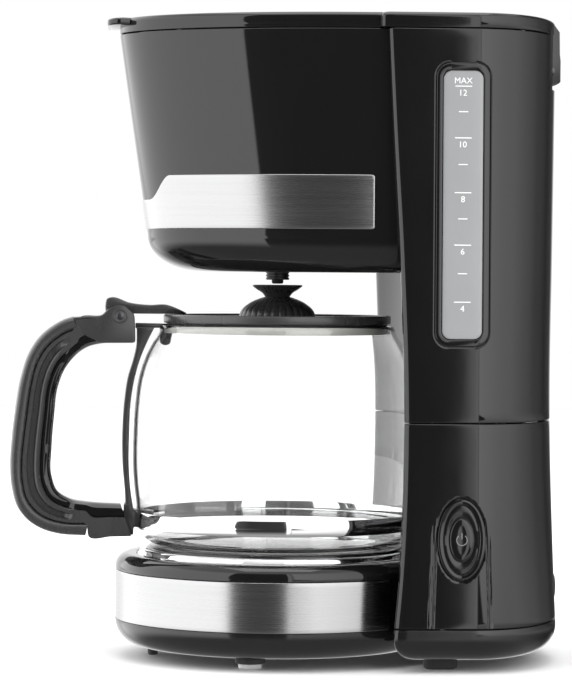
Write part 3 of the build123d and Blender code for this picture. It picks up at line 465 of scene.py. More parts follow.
# A fine groove round the surround and a sunk seat for the pane.
def windowRelief(y, z):
    across, up = y - panel["middle"], z - window["z"]
    outer = roundedBox(across, up, window["outerWidth"] / 2, window["outerHeight"] / 2,
                       window["outerRadius"])
    inner = roundedBox(across, up, window["width"] / 2, window["height"] / 2, window["radius"])
    groove = 0.55 * np.exp(-((outer / 0.34) ** 2))
    return groove + window["depth"] * easeStep(0.25, -0.15, inner)


halfWindow = window["outerHeight"] / 2
cornerRows = np.concatenate([np.arange(-1.2, 8.6, 0.35)])
windowRows = np.concatenate([
    window["z"] - halfWindow + cornerRows, window["z"] + halfWindow - cornerRows,
    window["z"] - window["height"] / 2 + np.arange(-0.6, 0.61, 0.2),
    window["z"] + window["height"] / 2 + np.arange(-0.6, 0.61, 0.2),
    [niche["low"] - 0.12, niche["low"] + 0.12]])
tankFloor = 129.5
steps = shellSteps(seamMiddleHigh, seamTop, tower["wall"], floor=tankFloor, rows=46, extra=windowRows)
innerRows = np.array([(z, tower["wall"]) for z in (tankFloor, niche["low"] - 4, niche["low"] - 3.8)])
steps = np.concatenate([innerRows, steps[1:]])
grid = towerGrid(steps[:, 0], steps[:, 1], panelColumns, windowRelief, withNiche=True)
addPiece("upperHousing", tubeParts(grid, capLow=True, capHigh=True, flip=True), "machine", "gloss_casing",
         ["upper_housing"])
print("upper housing")

# lower housing and base tray
switchColumns = np.unique(np.round(np.concatenate([
    [panel["low"], panel["high"]], fineSteps(switch["middle"], 13.2, 0.25, 0.8),
    np.arange(panel["low"], panel["high"], 0.8)]), 3))


# Two pairs of fine lines beside the switch, flaring a little towards the foot, and a step under the
# bezel.
def switchRelief(y, z):
    flare = switch["seat"][0] + 0.9 * easeStep(*switch["lineFlare"], z)
    across = np.abs(y - switch["middle"])
    fade = easeStep(*switch["lineFade"], z)
    lines = sum(deep * np.exp(-(((across - flare - apart) / switch["lineWidth"]) ** 2))
                for deep, apart in [(0.45, 0), (0.35, 1.5)])
    oval = ovalRing(y - switch["middle"], z - switch["z"], *switch["seat"])
    seat = switch["seatDepth"] * easeStep(0.2, -0.3, oval)
    return lines * fade + seat


# An open tray of the tower's plan: up the inside, over the rim, down the outside and under.
def towerShell(low, high, wall, relief, columns, extra=(), rows=20):
    steps = shellSteps(low, high, wall, rows=rows, extra=extra)
    grid = towerGrid(steps[:, 0], steps[:, 1], columns, relief)
    return tubeParts(grid, capLow=True, capHigh=True, flip=True)


puck = {"shoulder": 6.5, "opening": 71.5, "top": 53.0, "wall": 2.5}
recess = puckRadius - 1.2  # seat of the brushed band
shoulderArc = arcPoints((puckRadius - puck["shoulder"], puck["top"] - puck["shoulder"]), puck["shoulder"],
                        0, 90, 14)
puckProfile = [(recess - puck["wall"], bandLow), (recess, bandLow), (recess, bandHigh + 0.1),
               (puckRadius - 0.5, bandHigh + 0.15), (puckRadius - 0.1, bandHigh + 0.3),
               (puckRadius, bandHigh + 0.7)] + shoulderArc
puckProfile += [(puck["opening"] + 1.2, puck["top"])] + arcPoints(
    (puck["opening"] + 1.0, puck["top"] - 1.0), 1.0, 90, 180, 5)
puckUnder = puck["top"] - puck["wall"]
puckProfile += [(puck["opening"], puckUnder), (recess - puck["wall"], puckUnder)]
puckPart = turned(puckProfile, 192, wrapRows=True)
seatRows = switch["seat"][1] - np.arange(-0.8, 10, 0.6)
lowerRows = np.concatenate([switch["z"] + seatRows, switch["z"] - seatRows])
lowerTower = towerShell(seamTray + seamGap, seamMiddleLow, tower["wall"], switchRelief, switchColumns,
                        lowerRows, 34)
addPiece("lowerHousing", joinParts([lowerTower, puckPart]), "machine", "gloss_casing",
         ["lower_housing", "base_cover"])

tray = {"roll": 13.0, "wall": 2.5, "puckRoll": 13.6}
trayOutside = [(seamTray - 0.35, 0.0)]
for a in np.radians(np.linspace(90, 0, 14)):
    trayOutside.append((footHeight + tray["roll"] * (1 - math.cos(a)), tray["roll"] * (1 - math.sin(a))))
traySteps = [(footHeight + 3.0, tray["roll"] + 2), (footHeight + tray["roll"], 2.5), (seamTray, 2.2),
             (seamTray, 0.35), (seamTray - 0.1, 0.1)] + trayOutside
traySteps = np.array(traySteps)
plainColumns = np.linspace(panel["low"], panel["high"], 16)
trayTower = tubeParts(towerGrid(traySteps[:, 0], traySteps[:, 1], plainColumns), True, True, flip=True)
trayArc = arcPoints((puckRadius - tray["puckRoll"], footHeight + tray["puckRoll"]), tray["puckRoll"], 0,
                    -90, 16)
trayFloor = footHeight + tray["wall"]
trayProfile = [(0.01, trayFloor), (puckRadius - 16, trayFloor), (puckRadius - tray["wall"], bandLow - 4),
               (puckRadius - tray["wall"], bandLow), (puckRadius - 0.4, bandLow),
               (puckRadius, bandLow - 0.4)] + trayArc
trayProfile += [(60, footHeight), (20, footHeight), (0.01, footHeight)]
trayPuck = turned(trayProfile[::-1], 192)
addPiece("baseTray", joinParts([trayTower, trayPuck]), "machine", "black_shell", ["base_tray"])
print("lower casings")

# brushed band round the base


# A band between two edges. place(u, z, lift) gives the point of the surface; the border is rounded by
# drawing rows and columns in by the bevel while they sink below the face.
def stripPiece(name, along, lowEdge, highEdge, place, thickness, bevel, replaced, rows=14, endRadius=1.2):
    lift = [-thickness, -bevel] + [-bevel * (1 - math.sin(a)) for a in np.linspace(0.3, 1.57, 4)]
    draw = [0.0, 0.0] + [bevel * (1 - math.cos(a)) for a in np.linspace(0.3, 1.57, 4)]
    u = np.concatenate([np.full(2, along[0]), along[0] + np.array(draw[2:]),
                        np.clip(along[1:-1], along[0] + bevel * 1.2, along[-1] - bevel * 1.2),
                        (along[-1] - np.array(draw[2:]))[::-1], np.full(2, along[-1])])
    uLift = np.concatenate([lift, np.zeros(len(along) - 2), lift[::-1]])
    low, high = lowEdge(u), highEdge(u)
    t = np.linspace(0, 1, rows)[1:-1]
    vDraw = np.array(draw)
    z = np.concatenate([low[None] + vDraw[:, None],
                        low[None] + bevel * 1.3 + (high - low - 2.6 * bevel)[None] * t[:, None],
                        (high[None] - vDraw[:, None])[::-1]])
    vLift = np.concatenate([lift, np.zeros(rows - 2), lift[::-1]])
    # the ends have small round corners
    fromEnd = np.minimum(u - along[0], along[-1] - u)
    short = endRadius - np.sqrt(np.maximum(endRadius**2 - np.maximum(endRadius - fromEnd, 0) ** 2, 0))
    centre = (low + high) / 2
    z = centre[None] + (z - centre[None]) * (1 - short / ((high - low) / 2))[None]
    both = np.minimum(vLift[:, None], uLift[None])
    grid = place(u[None] + 0 * z, z, both)
    rowsCount, columns = grid.shape[:2]
    faces = gridFaces(rowsCount, columns, wrapColumns=False)
    # the back joins the two long border lines column by column, and each end is one flat face
    top = (rowsCount - 1) * columns
    faces += [[c, top + c, top + c + 1, c + 1] for c in range(columns - 1)]
    faces += [[r * columns for r in range(rowsCount)], [r * columns + columns - 1
                                                        for r in range(rowsCount)][::-1]]
    return addPiece(name, (grid, faces), "machine", "brushed_band", replaced, sharp=30)


bandHalfTurn = math.radians(131)
bandAlong = np.linspace(-bandHalfTurn, bandHalfTurn, 260) * puckRadius


# A length along the circle is turned into an angle, measured from the front.
def onPuck(u, z, lift):
    angle = u / puckRadius - math.pi / 2
    radius = puckRadius + lift
    return np.stack([radius * np.cos(angle), radius * np.sin(angle), z], -1)


stripPiece("baseBand", bandAlong, lambda u: bandLow + 0 * u, lambda u: bandHigh + 0 * u, onPuck, 1.1, 0.35,
           ["base_trim_band"])

# filter housing and its band
bowl = {"centre": 48.0, "bend": 216.0, "low": 197.5, "depths": (115.0, 130.0), "halves": (69.0, 72.0),
        "rollFront": 29.0, "rollSide": 13.0, "wall": 2.2, "rear": 84.0}


# Half width and depth of the ellipse: straight tapers above the bend, and a quarter-ellipse roll below
# it.
def bowlSizes(z, inset):
    rise = (np.maximum(z, bowl["bend"]) - bowl["bend"]) / (seamTop - bowl["bend"])
    under = np.clip((bowl["bend"] - z) / (bowl["bend"] - bowl["low"]), 0, 1)
    roll = 1 - np.sqrt(1 - under**2)
    (lowDepth, highDepth), (lowHalf, highHalf) = bowl["depths"], bowl["halves"]
    depth = lowDepth + (highDepth - lowDepth) * rise - bowl["rollFront"] * roll - inset
    half = lowHalf + (highHalf - lowHalf) * rise - bowl["rollSide"] * roll - inset
    return half, depth


# Half ellipse towards the front whose sides run straight back into the tower.
def bowlGrid(zs, insets, count=160):
    zs, insets = np.asarray(zs, float)[:, None], np.asarray(insets, float)[:, None]
    half, depth = bowlSizes(zs, insets)
    angle = np.pi + np.linspace(0, np.pi, count)[None]
    ring = np.stack([half * np.cos(angle), bowl["centre"] + depth * np.sin(angle)], -1)
    back = bowl["rear"] - insets
    corners = np.stack([np.concatenate([half, half, -half, -half], 1),
                        np.concatenate([back * 0.5 + bowl["centre"] * 0.5, back, back,
                                        back * 0.5 + bowl["centre"] * 0.5], 1)], -1)
    ring = np.concatenate([ring, corners], 1)
    grid = np.zeros((*ring.shape[:2], 3))
    grid[..., :2] = ring
    grid[..., 2] = zs
    return grid


rimBevel = 0.6
rollSteps = [(bowl["bend"] - (bowl["bend"] - bowl["low"]) * math.sin(a), 0.0)
             for a in np.linspace(1.57, 0.06, 22)]
outsideSteps = [(z, 0.0) for z in np.linspace(bowl["bend"], seamTop - rimBevel, 24)]
rimSteps = [(seamTop - rimBevel + rimBevel * math.sin(a), rimBevel * (1 - math.cos(a)))
            for a in np.linspace(0.3, 1.57, 4)]
insideSteps = [(seamTop, bowl["wall"] - 0.2), (seamTop - 0.5, bowl["wall"])] + [
    (z, bowl["wall"]) for z in np.linspace(seamTop - 8, bowl["bend"], 8)] + [
    (max(z, bowl["low"] + bowl["wall"]), bowl["wall"]) for z, _ in rollSteps[::-3]]
bowlSteps = np.array(rollSteps + outsideSteps + rimSteps + insideSteps)
innerRear = 70.0
grid = bowlGrid(bowlSteps[:, 0], bowlSteps[:, 1])
isInside = bowlSteps[:, 1] > 1.9
grid[isInside, -3, 1] = grid[isInside, -2, 1] = innerRear
grid[isInside, -3, 0], grid[isInside, -2, 0] = 50.0, -50.0
grid[isInside, -4, 1] = grid[isInside, -1, 1] = bowl["centre"] + 1.5
addPiece("filterHousing", tubeParts(grid, capLow=True, capHigh=True), "machine", "gloss_casing",
         ["filter_housing"])

trim = {"low": 219.0, "front": 234.0, "side": 246.0, "end": 44.5}


# u runs from -1 to 1 round the front, evenly in the ellipse's angle.
def bowlBandPoint(u, z, lift):
    half, depth = bowlSizes(z, 0 * z)
    angle = -math.pi / 2 + u * endAngle
    across = (half + 0.55 + lift) * np.cos(angle)
    return np.stack([across, bowl["centre"] + (depth + 0.55 + lift) * np.sin(angle), z], -1)


midDepth = 118.0
endAngle = math.pi / 2 - math.asin((bowl["centre"] - trim["end"]) / midDepth)


# Low across the front, rising in an S to the sides.
def trimHigh(u):
    y = bowl["centre"] + midDepth * np.sin(-math.pi / 2 + u / bowlScale * endAngle)
    return trim["front"] + (trim["side"] - trim["front"]) * easeStep(-66.5, -55.0, y)


bowlScale = 120.0
trimAlong = np.linspace(-1, 1, 420) * bowlScale
stripPiece("housingBand", trimAlong, lambda u: trim["low"] + 0 * u, trimHigh,
           lambda u, z, lift: bowlBandPoint(u / bowlScale, z, lift), 0.5, 0.45,
           ["housing_trim_band"], rows=18)
print("filter housing and bands")

# window and switch pieces on the side


# An outline of (across, up) points laid on the tower's side and lifted off it.
def sideRing(outline, lift, middle, centreZ):
    y, z = middle + outline[:, 0], centreZ + outline[:, 1]
    return np.stack([sideX(y, z) + lift, y, z], -1)


# A rectangle with four corner arcs, drawn in evenly.
def roundedOutline(width, height, radius, per=14):
    def shape(drawIn):
        a, b, r = width / 2 - drawIn, height / 2 - drawIn, max(radius - drawIn, 0.2)
        corners = [((a - r, b - r), 0), ((-a + r, b - r), 90), ((-a + r, -b + r), 180),
                   ((a - r, -b + r), 270)]
        out = []
        for centre, first in corners:
            out += arcPoints(centre, r, first, first + 90, per)
        return np.array(out)
    return shape


# An ellipse whose half axes are drawn in by the same length.
def ovalOutline(a, b, count=96):
    angle = np.linspace(0, 2 * np.pi, count, endpoint=False)
    return lambda drawIn: np.stack([(a - drawIn) * np.cos(angle), (b - drawIn) * np.sin(angle)], -1)


# Stacked outlines on the side with a flat end: each lift is (drawn in by, lifted by).
def sidePiece(name, outline, lifts, place, *where):
    rings = [sideRing(outline(drawIn), lift, *place) for drawIn, lift in lifts]
    return addPiece(name, tubeParts(np.stack(rings), capLow=True, capHigh=True), *where, sharp=30)


windowPlace, switchPlace = (panel["middle"], window["z"]), (switch["middle"], switch["z"])
paneLifts = [(0.3, -1.6), (0.3, -0.75), (0.42, -0.5), (0.75, -0.36), (1.2, -0.33), (3.0, -0.33),
             (6.0, -0.33)]
sidePiece("levelWindow", roundedOutline(window["width"], window["height"], window["radius"]), paneLifts,
          windowPlace, "machine", "window_plastic", ["level_window"])


# A flat ring on the side: each step is (share from outer to inner outline, lift).
def ringPiece(name, outerShape, innerShape, steps, place, *where, finish=None):
    rings = [sideRing(outerShape(0) * (1 - share) + innerShape(0) * share, lift, *place) for share,
             lift in steps]
    return addPiece(name, tubeParts(np.stack(rings), wrapRows=True), *where, finish=finish, sharp=30)


outer = roundedOutline(window["outerWidth"], window["outerHeight"], window["outerRadius"])
inner = roundedOutline(window["width"], window["height"], window["radius"])
surroundSteps = [(0.16, -0.5), (0.16, 0.0), (0.22, 0.06), (0.32, 0.09), (0.86, 0.09), (0.93, 0.05),
                 (0.97, -0.1), (0.97, -0.5)]
ringPiece("windowSurround", outer, inner, surroundSteps, windowPlace, "machine", "gloss_casing",
          ["window_surround"])
bezelSteps = [(0.0, -0.6), (0.0, 0.5), (0.06, 0.85), (0.2, 1.05), (0.35, 1.08), (0.6, 1.0), (0.85, 0.8),
              (0.97, 0.4), (1.0, -0.2), (1.0, -0.6)]
ringPiece("switchBezel", ovalOutline(*switch["outer"]), ovalOutline(*switch["inner"]), bezelSteps,
          switchPlace, "machine", "gloss_casing", ["switch_bezel"])
ringPiece("switchDish", ovalOutline(switch["inner"][0] - 0.15, switch["inner"][1] - 0.15),
          ovalOutline(switch["button"][0] + 0.3, switch["button"][1] + 0.3),
          [(0.0, -0.9), (0.0, -0.25), (0.12, -0.08), (0.5, -0.1), (0.9, -0.3), (1.0, -0.6), (1.0, -0.9)],
          switchPlace, "machine", "gloss_casing", finish=satinBlack)
buttonLifts = [(0.0, -4.5), (0.0, 0.25), (0.12, 0.5), (0.45, 0.72), (1.0, 0.84), (2.2, 0.88), (4.0, 0.86)]
sidePiece("powerButton", ovalOutline(*switch["button"]), buttonLifts, switchPlace, "button", "gloss_casing",
          ["power_button"])
print("side panel")

# printed marks of the level window


# A word's outline as a flat mesh, centred, its capitals as tall as height.
def flatText(text, height):
    curve = bpy.data.curves.new("word", "FONT")
    curve.body, curve.size, curve.resolution_u = text, 1.0, 3
    curve.align_x, curve.align_y = "CENTER", "CENTER"
    maker = bpy.data.objects.new("word", curve)
    mesh = bpy.data.meshes.new_from_object(maker)
    points = np.array([v.co for v in mesh.vertices], float)[:, :2]
    faces = [list(f.vertices) for f in mesh.polygons]
    bpy.data.objects.remove(maker)
    bpy.data.curves.remove(curve)
    bpy.data.meshes.remove(mesh)
    low, high = points.min(0), points.max(0)
    return (points - (low + high) / 2) * height / (high[1] - low[1]), faces


# A flat mesh laid on the tower's side as thin print: a front face, a back face and the edge between.
def raised(flat, across, up, low=-0.36, high=-0.24):
    points, faces = flat
    y, z = panel["middle"] + across + points[:, 0], up + points[:, 1]
    front, back = (np.stack([sideX(y, z) + lift, y, z], -1) for lift in (high, low))
    count = len(points)
    edges = {}
    for face in faces:
        for a, b in zip(face, face[1:] + face[:1]):
            edges[(a, b)] = True
    rim = [(a, b) for a, b in edges if (b, a) not in edges]
    made = [list(f) for f in faces] + [[i + count for i in f[::-1]] for f in faces]
    made += [[b, a, a + count, b + count] for a, b in rim]
    return np.concatenate([front, back]), made


# A flat rectangle about its centre.
def bar(width, height):
    corners = np.array([(-1, -1), (1, -1), (1, 1), (-1, 1)]) / 2
    return corners * (width, height), [[0, 1, 2, 3]]


marks = {"long": 8.3, "short": 4.6, "line": 0.45, "digits": 3.0}
scaleLines = [(289.8, "12"), (264.3, "10"), (237.3, "8"), (211.5, "6"), (183.4, "4")]
ticks = [277.2, 251.2, 224.4, 197.4]
prints = [raised(flatText("MAX", 2.9), 0, 292.6)]
for level, label in scaleLines:
    prints += [raised(bar(marks["long"], marks["line"]), 0, level),
               raised(flatText(label, marks["digits"]), 0, level - 3.2)]
prints += [raised(bar(marks["short"], marks["line"]), 0, level) for level in ticks]
addPiece("levelMarks", joinParts(prints), "machine", "window_plastic", finish=printWhite)

icon = []
turnA = np.linspace(math.radians(125), math.radians(415), 44)
inner, outerArc = 2.35, 2.85
ringFlat = np.concatenate([np.stack([outerArc * np.cos(turnA), outerArc * np.sin(turnA)], -1),
                           np.stack([inner * np.cos(turnA), inner * np.sin(turnA)], -1)])
n = len(turnA)
ringFaces = [[k, k + 1, n + k + 1, n + k] for k in range(n - 1)]
icon.append(raised((ringFlat, ringFaces), switch["middle"] - panel["middle"], switch["z"], 0.7, 0.98))
icon.append(raised(bar(0.5, 2.9), switch["middle"] - panel["middle"], switch["z"] + 2.0, 0.7, 0.98))
addPiece("powerMark", joinParts(icon), "button", "gloss_casing", finish=markGrey)
print("marks")

# feet


# The same turned profile at several places.
def discs(places, profile, count=48):
    return joinParts([turned(profile, count, centre=place, capLow=True, capHigh=True) for place in places])


cupLow, cupHigh = span("foot_cups")
frontFeetY = (cupLow[1] + cupHigh[1]) / 2 - jugY
frontFeetX = (cupHigh[0] - cupLow[0]) / 2 - 7.5
frontPlaces = [(-frontFeetX, frontFeetY), (frontFeetX, frontFeetY)]
footCupProfile = [(6.6, 2.5), (7.3, 2.7), (7.5, 3.2), (7.5, 5.2), (7.2, 6.0)]
addPiece("footCups", discs(frontPlaces, footCupProfile), "machine", "black_rubber", ["foot_cups"])
padProfile = [(4.6, 0.0), (5.4, 0.12), (5.9, 0.5), (6.0, 1.0), (6.0, 2.5)]
addPiece("footPads", discs(frontPlaces, padProfile), "machine", "pale_rubber", ["foot_pads"])

# warming plate
plateTop = span("warming_plate")[1][2]
plateRadius = span("warming_plate")[1][0]
ringHigh = span("plate_ring")[1][2]
plateProfile = [(0.01, plateTop - 0.4), (20, plateTop - 0.38), (40, plateTop - 0.3), (58, plateTop - 0.1),
                (61, plateTop)]
plateProfile += arcPoints((plateRadius - 1.6, plateTop - 1.6), 1.6, 90, 0,
                          8) + [(plateRadius, plateTop - 4), (plateRadius - 1.5, plateTop - 4)]
plateProfile += [(plateRadius - 2, plateTop - 2), (0.01, plateTop - 2.2)]
addPiece("warmingPlate", turned(plateProfile[::-1], 160), "machine", "plate_metal", ["warming_plate"])
ringIn, ringOut = plateRadius + 0.15, puck["opening"] - 0.15
middle = (ringIn + ringOut) / 2
ringProfile = [(ringIn, 49.2), (ringOut, 49.2), (ringOut, 51.5)] + arcPoints((ringOut - 0.9, 52.2), 0.9, 0,
                                                                             80, 5)
ringProfile += arcPoints((middle - 0.3, ringHigh - 1.6), 1.6, 20, 160, 9) + [(ringIn, ringHigh - 2.4)]
addPiece("plateRing", turned(ringProfile, 192, wrapRows=True), "machine", "polished_steel", ["plate_ring"])
print("plate and feet")

# top lid
lid = {"edge": 2.6, "wall": 2.5, "tabHalf": 22.0, "tabLow": -88.3, "armAt": 23.5, "armHalf": 7.5}


# The outline over both casings: the filter housing's half ellipse in front, the tower behind, a step
# between.
def lidRing(inset, z):
    half, depth = bowlSizes(np.array([seamTop]), inset)
    towerHalf, corner, back = (float(v) for v in towerSizes(np.array(seamTop), inset))
    half, depth = float(half[0]), float(depth[0])
    stepY = corner - 0.4
    lastAngle = -math.asin((bowl["centre"] - stepY + 0.8 + 1.6) / depth)
    front = [(half * math.cos(a), bowl["centre"] + depth * math.sin(a))
             for a in np.linspace(-math.pi / 2, lastAngle, 60)]
    notch = [(sideBowl(stepY - 0.8, half, depth), stepY - 0.8), (half + 0.15, stepY - 0.15),
             (half + 0.8, stepY)]
    cornerArc = arcPoints((towerHalf - 2.6, stepY + 2.6), 2.6, -90, 0, 8)
    flank = [(towerHalf, y) for y in np.linspace(stepY + 6, tower["backCentre"], 10)]
    rear = [(towerHalf * math.cos(a), tower["backCentre"] + back * math.sin(a))
            for a in np.linspace(0, math.pi / 2, 50)[1:]]
    right = front + notch + cornerArc + flank + rear
    left = [(-x, y) for x, y in right[::-1]][1:-1]
    ring = np.array(right + left)
    return np.concatenate([ring, np.full((len(ring), 1), z)], 1)


# Half width of the filter housing's ellipse at a place along its side.
def sideBowl(y, half, depth):
    return half * math.sqrt(max(0, 1 - ((y - bowl["centre"]) / depth) ** 2))


lidStepsOut = []
for a in np.linspace(1.57, 0, 10):
    lidStepsOut.append((lid["edge"] * (1 - math.cos(a)), lidHigh - lid["edge"] + lid["edge"] * math.sin(a)))
lidSteps = [(12, lidHigh), (6, lidHigh)] + lidStepsOut + [(0.0, lidLow + 0.5), (0.12, lidLow + 0.15),
                                                          (0.5, lidLow), (lid["wall"] - 0.2, lidLow),
                                                          (lid["wall"], lidLow + 0.4)]
lidSteps += [(lid["wall"], lidHigh - 3.0), (lid["wall"] + 1.0, lidHigh - 2.5)]
lidShell = tubeParts(np.stack([lidRing(*step) for step in lidSteps]), capLow=True, capHigh=True, flip=True)


# The finger tab: a rounded strip under the lid's front edge.
def tabRing(inset, z, droop=0.0):
    out = []
    half, low, high, r = lid["tabHalf"] - inset, lid["tabLow"] + inset, -70.0, 7.0
    for centre, first in [((half - r, high), 0), ((-half + r, high), 90), ((-half + r, low + r), 180),
                          ((half - r, low + r), 270)]:
        out += arcPoints(centre, r if centre[1] < high else 0.5, first, first + 90, 9)
    ring = np.array(out)
    sink = droop * np.clip((-80 - ring[:, 1]) / 8, 0, 1) ** 2
    return np.concatenate([ring, (z - sink)[:, None]], 1)


tabSteps = [(1.2, 322.3), (0.3, 322.5), (0.0, 323.1), (0.0, lidHigh - 1.3), (0.4, lidHigh - 0.65),
            (1.3, lidHigh - 0.3), (4.0, lidHigh - 0.25)]
tabPart = tubeParts(np.stack([tabRing(i, np.full(36, z), 0.35) for i, z in tabSteps]), capLow=True,
                    capHigh=True)


# A (Y, Z) outline carried along X, its two ends drawn in by a bevel about its middle.
def block(outline, lowX, highX, bevel=0.5):
    outline = np.asarray(outline, float)
    centre = outline.mean(0)
    size = np.abs(outline - centre).max(0)
    rows = []
    for x, drawIn in [(lowX, bevel), (lowX + bevel * 0.3, bevel * 0.3), (lowX + bevel, 0),
                      (highX - bevel, 0), (highX - bevel * 0.3, bevel * 0.3), (highX, bevel)]:
        ring = centre + (outline - centre) * (1 - drawIn / size)
        rows.append(np.stack([np.full(len(ring), x), ring[:, 0], ring[:, 1]], -1))
    return tubeParts(np.stack(rows), capLow=True, capHigh=True)


knuckle = 7.5
armFront, armBack = hingeY - 6.8, hingeY + 5.2
armArc = [(min(y, armBack), z) for y, z in arcPoints((hingeY, hingeZ), knuckle, -205, 46, 36)]
armOutline = armArc + [(armBack - 0.4, hingeZ + 8.5), (armBack - 0.6, lidHigh - 6),
                       (armBack - 3.0, lidHigh - 2.7), (armFront, lidHigh - 2.7), (armFront, hingeZ + 4)]
arms = [block(armOutline, side * lid["armAt"] - lid["armHalf"], side * lid["armAt"] + lid["armHalf"])
        for side in (-1, 1)]
addPiece("topLid", joinParts([lidShell, tabPart] + arms), "lid", "gloss_casing", ["top_lid"])
print("top lid")

# jug glass
glassWall = 1.9
glassKnots = [(45, 57.7), (58, 57.4), (64.6, 58.6), (69.2, 62.2), (71.4, 67.0), (71.8, 72), (72.2, 78),
              (73.1, 85), (74.0, 96), (74.0, 114), (73.1, 131), (71.6, 142), (68.7, 152), (64.3, 161.4),
              (61.2, 166.4), (60.3, 169.3)]
glassOut = smoothPath(glassKnots, 90)
slope = np.gradient(glassOut, axis=0)
slope /= np.linalg.norm(slope, axis=1)[:, None]
glassIn = glassOut + glassWall * np.stack([-slope[:, 1], slope[:, 0]], -1)
foot = [(0.01, 59.6), (18, 59.3), (34, 58.4)]
footIn = [(34, 60.3), (18, 61.2), (0.01, 61.5)]
lip = arcPoints((59.4, 169.0), 0.9, 20, 160, 7)
glassProfile = foot + glassOut[:-1].tolist() + lip + glassIn[:-1][::-1].tolist() + footIn
addPiece("jugGlassBody", turned(glassProfile, 160), "carafe", "jug_glass", ["carafe_glass"], sharp=60)

strapZ = (strapLow[2], strapHigh[2])
strapProfile = [(72.15, strapZ[0] + 0.3), (72.3, strapZ[0]), (72.6, strapZ[0] + 0.05),
                (72.8, strapZ[0] + 0.35), (72.8, strapZ[1] - 0.35), (72.6, strapZ[1] - 0.05),
                (72.3, strapZ[1]), (72.15, strapZ[1] - 0.3)]
addPiece("jugStrap", turned(strapProfile, 200, wrapRows=True), "carafe", "polished_steel", ["carafe_strap"])
print("jug")

# jug handle
grip = {"half": 11.0, "core": 10.4, "coverDepth": 7.2, "centre": (-86.0, 116.0), "count": 120}
gripOuter = [(-105, 174.0), (-109.5, 172.6), (-114.8, 169.7), (-122, 163.7), (-127.2, 156), (-131.6, 143),
             (-134.2, 128), (-136.0, 112.6), (-136.8, 97), (-136, 87), (-132.6, 75.6), (-127, 69),
             (-119.6, 64.7), (-112, 62.6), (-98, 61.6)]
gripInner = [(-82, 161.0), (-90, 160.3), (-97.5, 158.4), (-104, 153.6), (-109, 147.2), (-112.6, 138),
             (-114.4, 123), (-115.6, 107), (-115.5, 92), (-112.6, 84.6), (-106.6, 80.8), (-97, 79.0),
             (-80, 78.0)]


# Carries a cross-section along the strip between two side curves. sectionAt(t), with t from 0 to 1 along
# the strip, gives rows of (X, share), where the share runs from 0 on the outer curve to 1 on the inner
# one.
def sweepSections(outer, inner, sectionAt):
    rows = []
    for k, ((y0, z0), (y1, z1)) in enumerate(zip(outer, inner)):
        x, share = sectionAt(k / (len(outer) - 1)).T
        rows.append(np.stack([x, y0 + (y1 - y0) * share, z0 + (z1 - z0) * share], -1))
    return tubeParts(np.stack(rows), True, True)


# A superellipse in (X, share).
def softSection(half, low, high, power=3.2, count=40):
    a = np.linspace(0, 2 * np.pi, count, endpoint=False)
    x = half * np.sign(np.cos(a)) * np.abs(np.cos(a)) ** (2 / power)
    s = (low + high) / 2 + (high - low) / 2 * np.sign(np.sin(a)) * np.abs(np.sin(a)) ** (2 / power)
    return np.stack([x, s], -1)


outerLine = smoothPath(gripOuter, grip["count"])
inward = np.array(grip["centre"]) - outerLine
inward /= np.linalg.norm(inward, axis=1)[:, None]
seamLine = outerLine + grip["coverDepth"] * inward
coverSection = softSection(grip["half"], 0.0, 1.0, 3.4, 56)
addPiece("gripCover", sweepSections(outerLine, seamLine, lambda t: coverSection), "carafe",
         "handle_plastic", ["handle_cover"], sharp=40)

coreOuter = smoothPath([(-79, 174.2), (-92, 174.4), (-101, 174.0), (-104.4, 171.6)], 26)
coreOuter = np.concatenate([coreOuter[:-1], seamLine[2:-2] - 0.35 * inward[2:-2],
                            smoothPath([(-97, 66.4), (-96.4, 61.8), (-84, 61.6), (-74.6, 61.8)], 22)])
coreInner = smoothPath(gripInner, len(coreOuter))
bodyShares = [(0.00, 9.9), (0.04, 10.4), (0.15, 10.4), (0.18, 8.6), (0.21, 7.6), (0.37, 7.6), (0.40, 8.2),
              (0.43, 9.8), (0.48, 10.3), (0.56, 10.3), (0.61, 9.6), (0.63, 8.2)]
fingerShares = [(0.60, 7.6), (0.66, 8.9), (0.74, 9.0), (0.88, 8.6), (0.96, 7.4), (1.00, 5.4)]


# The core's half width follows its shares, but near the handle's two ends the channel is filled to full
# width.
def corePart(shares):
    def section(t):
        flat = max(1 - float(easeStep(0.17, 0.24, t)), float(easeStep(0.80, 0.83, t)))
        half = np.array([w + (grip["core"] - w) * flat if 0.05 < s < 0.9 else w for s, w in shares])
        share = np.array([s for s, _ in shares])
        return np.concatenate([np.stack([half, share], -1), np.stack([-half[::-1], share[::-1]], -1)])

    return sweepSections(coreOuter, coreInner, section)


# A profile of (X, radius) turned about a line along X; its ends are flat, or else the profile closes on
# itself.
def alongX(profile, centre, count, closed=False):
    a = np.linspace(0, 2 * np.pi, count, endpoint=False)
    rows = [np.stack([np.full(count, x), centre[0] + r * np.cos(a), centre[1] + r * np.sin(a)], -1) for x,
            r in profile]
    return tubeParts(np.stack(rows), closed, closed, wrapRows=not closed)


